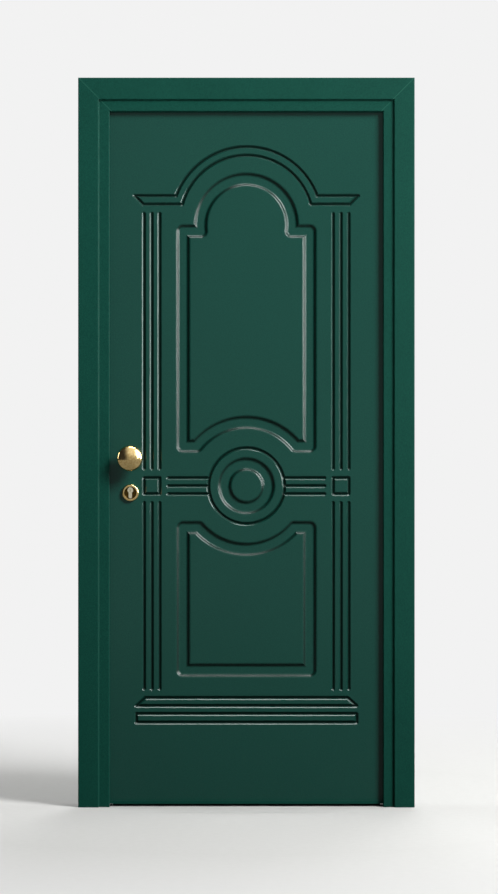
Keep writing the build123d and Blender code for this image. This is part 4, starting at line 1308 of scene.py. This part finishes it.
@dataclass
class Seals:
    """Rubber strips on the rebate, with ribs on the side that meets the leaf. Lengths are in millimetres."""

    ribs: int = 3
    rib_height: float = 0.9
    rib_slope_share: float = 0.35
    shoulder: float = 1.2
    merge: float = 0.001

    def section(self, width: float, height: float) -> list[Point]:
        """Outline of the strip in metres, flat side down.

        Args:
            width: Width of the flat side.
            height: Height over the ribs.

        Returns:
            Corners, anticlockwise.
        """
        base = height - self.rib_height * MM
        edge = width / 2 - self.shoulder * MM
        outline = [(-width / 2, 0.0), (width / 2, 0.0), (width / 2, base - self.shoulder * MM)]
        pitch = 2 * edge / self.ribs
        slope = pitch * self.rib_slope_share
        for rib in range(self.ribs):
            right = edge - rib * pitch
            outline += [(right, base), (right - slope, height), (right - pitch + slope, height)]
        return [*outline, (-edge, base), (-width / 2, base - self.shoulder * MM)]

    def strip_tree(self) -> Tree:
        """Build the tree that draws a section out into a strip.

        Returns:
            Geometry tree.
        """
        tree, given = new_tree("rubber_strip", ("Along X", "Along Z"))
        way = {"X": given["Along X"], "Z": given["Along Z"]}
        offset = add_node(tree, "ShaderNodeCombineXYZ", way).outputs[0]
        drawn = {"Mesh": given["Geometry"], "Offset": offset, "Offset Scale": 1.0}
        body = add_node(tree, "GeometryNodeExtrudeMesh", drawn)
        foot = add_node(tree, "GeometryNodeFlipFaces", {0: given["Geometry"]})
        both = add_node(tree, "GeometryNodeJoinGeometry")
        for part in (body, foot):
            tree.links.new(part.outputs[0], both.inputs[0])
        joint = {0: both.outputs[0], "Distance": self.merge * MM}
        end_tree(tree, add_node(tree, "GeometryNodeMergeByDistance", joint).outputs[0], RUBBER)
        return tree

    def dress(self) -> None:
        """Put ribbed strips in place of the plain ones."""
        RUBBER.dress("seal_blade")
        ALUMINIUM.dress("seal_housing")
        tree = self.strip_tree()
        for place in ("left", "right", "head"):
            node = f"{place}_gasket"
            low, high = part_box(node)
            if place == "head":
                middle = (low.z + high.z) / 2
                outline = self.section(high.z - low.z, high.y - low.y)
                corners = [(low.x, low.y + up, middle - across) for across, up in outline]
                reach = {"Along X": high.x - low.x, "Along Z": 0.0}
            else:
                middle = (low.x + high.x) / 2
                outline = self.section(high.x - low.x, high.y - low.y)
                corners = [(middle + across, low.y + up, low.z) for across, up in outline]
                reach = {"Along X": 0.0, "Along Z": high.z - low.z}
            seed = bpy.data.meshes.new(f"{place}_section")
            seed.from_pydata(corners, [], [tuple(range(len(corners)))])
            place_mesh(f"{place}_ribbed_seal", grow(node, seed, tree, reach), RUBBER, "frame", node)


@dataclass
class DoorFrame:
    """Frame in the wall, with the keeps that the bolts run into."""

    sides: tuple[str, ...] = ("frame_left_jamb", "frame_right_jamb", "frame_header")
    strips: tuple[str, ...] = ("jamb_webs", "jamb_flanges", "head_web", "head_flange")

    def dress(self) -> None:
        """Coat the frame and its keeps."""
        POWDER.dress(*self.sides, *self.strips)
        ZINC.dress("lock_keep", "side_bolt_keeps")


@dataclass
class LeafShell:
    """Steel core of the leaf, its filling, inner panel and edge trims."""

    trims: tuple[str, ...] = ("lock", "hinge", "top", "bottom")

    def dress(self) -> None:
        """Finish the leaf around the carved panel."""
        POWDER.dress(*[f"{edge}_edge_trim" for edge in self.trims])
        ZINC.dress("core_tray", "core_cover", "core_stiffeners")
        WOOL.dress("wool_slabs")
        LAMINATE.dress("inner_panel")


@dataclass
class Lock:
    """Lock, deviators and bolts in the leaf's edge."""

    ends: tuple[str, ...] = ("lower", "upper")

    def dress(self) -> None:
        """Finish the lock's pieces."""
        ZINC.dress("lock_case", "lock_cover", "bolt_carriage", "lock_follower")
        ZINC.dress("lever_spindle", "knob_stud", "cylinder_screw")
        GROUND.dress("deadbolts", "latch")
        for end in self.ends:
            ZINC.dress(f"{end}_deviator_case", f"{end}_slide_plate")
            GROUND.dress(f"{end}_rod", f"{end}_side_bolt")
        NICKEL.dress("cylinder_body", "outer_plug", "inner_plug", "cylinder_cam")


@dataclass
class Handles:
    """Turned knob, lever, rosettes and escutcheons. Lengths are in millimetres, heights from the leaf."""

    radius: float = 38.5
    reach: float = 70.0
    crown: float = 20.0
    edge: float = 14.0
    back: float = 22.0
    neck: float = 13.0
    foot: float = 8.0
    bore: float = 5.05
    bore_top: float = 33.0
    rounds: int = 96
    steps: int = 14
    crease: float = 40.0

    def bow(self, centre: Point, radius: float, first: float, last: float) -> list[Point]:
        """Points along an arc of the knob's half section.

        Args:
            centre: Centre, from the axis and from the leaf.
            radius: Radius of the arc.
            first: Angle of the start, in radians.
            last: Angle of the end, in radians.

        Returns:
            Points from the start to the end.
        """
        angles = np.linspace(first, last, self.steps + 1)
        return [(centre[0] + radius * math.cos(a), centre[1] + radius * math.sin(a)) for a in angles]

    def section(self) -> list[Point]:
        """Half section of the knob, from the top of its crown round to the end of its bore.

        Returns:
            Points as distance from the axis and height from the leaf.
        """
        rim = self.reach - self.crown
        side = self.radius - self.edge
        crown = (side**2 + self.crown**2 - self.edge**2) / (2 * (self.crown - self.edge))
        turn = math.atan2(rim - self.reach + crown, side)
        run = self.radius - self.neck
        hollow = (run**2 + self.back**2) / (2 * run)
        middle = self.radius - hollow
        return [
            *self.bow((0.0, self.reach - crown), crown, math.pi / 2, turn),
            *self.bow((side, rim), self.edge, turn, 0.0)[1:],
            *self.bow((middle, rim), hollow, 0.0, math.atan2(-self.back, self.neck - middle))[1:],
            (self.neck, self.foot),
            (self.bore, self.foot),
            (self.bore, self.bore_top),
            (0.0, self.bore_top),
        ]

    def turn_knob(self) -> bpy.types.Mesh:
        """Turn the knob on its axis.

        Returns:
            Closed mesh, smooth apart from its sharp edges.
        """
        low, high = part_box("knob")
        axis_x, axis_z = (low.x + high.x) / 2, (low.z + high.z) / 2
        leaf = high.y + self.foot * MM
        top, *rings, end = self.section()
        angles = [math.tau * turn / self.rounds for turn in range(self.rounds)]
        spots = [(*top, 0.0), *((*ring, angle) for ring in rings for angle in angles), (*end, 0.0)]
        verts = [
            (axis_x + away * MM * math.cos(angle), leaf - height * MM, axis_z + away * MM * math.sin(angle))
            for away, height, angle in spots
        ]
        last = len(verts) - 1
        inmost = (len(rings) - 1) * self.rounds
        faces: list[tuple[int, ...]] = []
        for turn in range(self.rounds):
            here, there = 1 + turn, 1 + (turn + 1) % self.rounds
            faces.append((0, here, there))
            for step in range(0, inmost, self.rounds):
                a, b = here + step, there + step
                faces.append((a, a + self.rounds, b + self.rounds, b))
            faces.append((here + inmost, last, there + inmost))
        mesh = bpy.data.meshes.new("turned_knob")
        mesh.from_pydata(verts, [], faces)
        mesh.polygons.foreach_set("use_smooth", [True] * len(faces))
        mesh.set_sharp_from_angle(angle=math.radians(self.crease))
        return mesh

    def dress(self) -> None:
        """Polish the handles and put the turned knob in its place."""
        BRASS.dress("knob_rosette", "lever_handle", "lever_rosette")
        DISH_BRASS.dress("cylinder_escutcheon", "inner_escutcheon")
        place_mesh("turned_knob", self.turn_knob(), BRASS, "leaf", "knob")


@dataclass(frozen=True)
class Lamp:
    """Soft lamp with a flat face. Lengths are in metres.

    Attributes:
        name: Name of the lamp.
        place: Where it hangs.
        target: Point that it faces.
        size: Width and height of its face.
        power: Power in watts.
        diffuse: Whether it lights surfaces, or only shows in their gloss.
    """

    name: str
    place: Place
    target: Place
    size: Point
    power: float
    diffuse: bool = True

    def hang(self) -> None:
        """Put the lamp into the scene, unseen by the camera."""
        light = bpy.data.lights.new(self.name, "AREA")
        light.shape = "RECTANGLE"
        light.size, light.size_y = self.size
        light.energy = self.power
        lamp = bpy.data.objects.new(self.name, light)
        lamp.location = self.place
        way = Vector(self.target) - Vector(self.place)
        lamp.rotation_euler = way.to_track_quat("-Z", "Y").to_euler()
        lamp.visible_camera = False
        lamp.visible_diffuse = self.diffuse
        bpy.context.scene.collection.objects.link(lamp)


@dataclass
class Studio:
    """Floor, lamps, pale surroundings and camera. Lengths are in metres."""

    floor_radius: float = 8.0
    floor_sides: int = 96
    floor_tones: tuple[str, str] = ("#BEBEBC", "#C4C4C2")
    floor_grain: float = 0.025
    floor_roughness: float = 0.9
    floor_specular: float = 0.1
    # Reach at which the floor starts to fade, and at which it has gone into the background.
    fade_reach: Point = (1.1, 3.2)
    background: str = "#F2F2F2"
    # The floor's colour as it lights the door, and how far its reflection goes towards that.
    bounce: str = "#3C3C3C"
    floor_dimming: float = 0.6
    # In reflections the surroundings darken to the left and towards eye level: axis, span and levels there.
    ramps: tuple[tuple[str, Point, Point], ...] = (
        ("X", (-0.45, -0.03), (0.02, 1.05)),
        ("Z", (0.05, 0.5), (0.6, 1.3)),
    )
    ambient: float = 0.045
    # A key at the upper right, lamps for the other sides, and strips for the bright lines on the carving.
    lamps: tuple[Lamp, ...] = (
        Lamp("key", (4.1, -3.7, 4.9), (0.0, 0.0, 1.1), (2.4, 2.4), 700.0),
        Lamp("rear", (0.8, 4.2, 3.0), (0.0, 0.0, 1.1), (2.4, 2.4), 150.0),
        Lamp("left_side", (-4.0, 0.9, 2.0), (0.0, 0.1, 1.1), (1.5, 2.0), 80.0),
        Lamp("right_side", (4.0, 0.9, 2.0), (0.0, 0.1, 1.1), (1.5, 2.0), 80.0),
        Lamp("right_strip", (2.2, -0.5, 1.7), (0.0, 0.0, 1.4), (0.8, 1.5), 110.0, diffuse=False),
        Lamp("right_panel", (3.2, -3.8, 2.1), (0.0, 0.0, 1.5), (0.7, 1.5), 140.0, diffuse=False),
        Lamp("top_strip", (0.2, -0.65, 3.7), (0.0, 0.0, 1.4), (1.6, 0.5), 65.0, diffuse=False),
    )
    lens: float = 120.8
    sensor: float = 36.0
    eye: Place = (0.0078, -9.0617, 1.0815)

    def floor_material(self) -> bpy.types.Material:
        """Pale floor that fades into the background, dimmer in reflections and as a light.

        Returns:
            The floor's material.
        """
        finish = bpy.data.materials.new("pale_studio_floor")
        finish.use_nodes = True
        tree = finish.node_tree
        shader = tree.nodes["Principled BSDF"]
        shader.inputs["Roughness"].default_value = self.floor_roughness
        shader.inputs["Specular IOR Level"].default_value = self.floor_specular
        spot = add_node(tree, "ShaderNodeTexCoord").outputs["Object"]
        noise = add_node(tree, "ShaderNodeTexNoise", {"Vector": spot, "Scale": 1 / self.floor_grain})
        dark, light = (linear(tone) for tone in self.floor_tones)
        paints = {0: noise.outputs[0], COLOUR_A: dark, COLOUR_B: light}
        tone = add_node(tree, "ShaderNodeMix", paints, data_type="RGBA").outputs[COLOUR_OUT]
        ray = add_node(tree, "ShaderNodeLightPath").outputs
        mirror = {0: ray["Is Glossy Ray"], 1: self.floor_dimming}
        mirrored = add_node(tree, "ShaderNodeMath", mirror, operation="MULTIPLY").outputs[0]
        dim = {0: ray["Is Diffuse Ray"], 1: mirrored}
        dimmed = add_node(tree, "ShaderNodeMath", dim, operation="MAXIMUM").outputs[0]
        paints = {0: dimmed, COLOUR_A: tone, COLOUR_B: linear(self.bounce)}
        seen = add_node(tree, "ShaderNodeMix", paints, data_type="RGBA").outputs[COLOUR_OUT]
        tree.links.new(seen, shader.inputs["Base Color"])
        lit = add_node(tree, "ShaderNodeMath", {0: 1.0, 1: mirrored}, operation="SUBTRACT").outputs[0]
        glow = add_node(tree, "ShaderNodeEmission", {"Color": linear(self.background), "Strength": lit})
        reach = add_node(tree, "ShaderNodeVectorMath", {0: spot}, operation="LENGTH").outputs["Value"]
        near, far = self.fade_reach
        fade = add_node(tree, "ShaderNodeMapRange", {"Value": reach, "From Min": near, "From Max": far})
        layers = {0: fade.outputs[0], 1: shader.outputs[0], 2: glow.outputs[0]}
        mix = add_node(tree, "ShaderNodeMixShader", layers)
        tree.links.new(mix.outputs[0], tree.nodes["Material Output"].inputs["Surface"])
        return finish

    def lay_floor(self) -> None:
        """Lay the floor round the door."""
        sides, radius = self.floor_sides, self.floor_radius
        bpy.ops.mesh.primitive_circle_add(vertices=sides, radius=radius, fill_type="NGON")
        disc = bpy.context.object
        disc.name = "studio_floor"
        disc.data.materials.append(self.floor_material())
        disc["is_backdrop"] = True

    def surroundings(self) -> None:
        """Make the surroundings pale for the eye, shaded in reflections and dim as a light."""
        world = bpy.data.worlds.new("studio")
        bpy.context.scene.world = world
        world.use_nodes = True
        tree = world.node_tree
        ray = add_node(tree, "ShaderNodeLightPath").outputs
        way = add_node(tree, "ShaderNodeTexCoord").outputs["Generated"]
        axes = add_node(tree, "ShaderNodeSeparateXYZ", {0: way}).outputs
        level = ray["Is Glossy Ray"]
        for axis, (start, end), (low, high) in self.ramps:
            span = {"Value": axes[axis], "From Min": start, "From Max": end, "To Min": low, "To Max": high}
            ramp = add_node(tree, "ShaderNodeMapRange", span).outputs[0]
            level = add_node(tree, "ShaderNodeMath", {0: level, 1: ramp}, operation="MULTIPLY").outputs[0]
        for other in (ray["Is Camera Ray"], ray["Is Transmission Ray"], self.ambient):
            level = add_node(tree, "ShaderNodeMath", {0: level, 1: other}, operation="MAXIMUM").outputs[0]
        back = tree.nodes["Background"]
        back.inputs["Color"].default_value = linear(self.background)
        tree.links.new(level, back.inputs["Strength"])

    def camera(self) -> None:
        """Set the camera square to the door, at the height of its middle."""
        data = bpy.data.cameras.new("camera")
        data.lens = self.lens
        data.sensor_width = self.sensor
        camera = bpy.data.objects.new("camera", data)
        camera.location = self.eye
        camera.rotation_euler = (math.pi / 2, 0.0, 0.0)
        bpy.context.scene.collection.objects.link(camera)
        bpy.context.scene.camera = camera

    def dress(self) -> None:
        """Set up the studio."""
        self.lay_floor()
        self.surroundings()
        for lamp in self.lamps:
            lamp.hang()
        self.camera()
        bpy.context.scene.view_settings.view_transform = "Standard"


def corners(bounds: tuple[Vector, Vector]) -> list[list[float]]:
    """Bounds as plain lists."""
    return [list(corner) for corner in bounds]


def main() -> None:
    """Dress the door piece by piece and set it in the studio."""
    logging.basicConfig(level=logging.INFO, format="%(message)s")
    before = corners(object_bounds())
    steps: dict[str, Callable[[], None]] = {
        "frame": DoorFrame().dress,
        "leaf": LeafShell().dress,
        "carved panel": CarvedPanel().dress,
        "seals": Seals().dress,
        "hinges": Hinges().dress,
        "lock": Lock().dress,
        "handles": Handles().dress,
        "studio": Studio().dress,
    }
    for name, dress in steps.items():
        dress()
        log.info("%s dressed", name)
    {"before": before, "after": corners(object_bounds())}


if __name__ == "__main__":
    main()
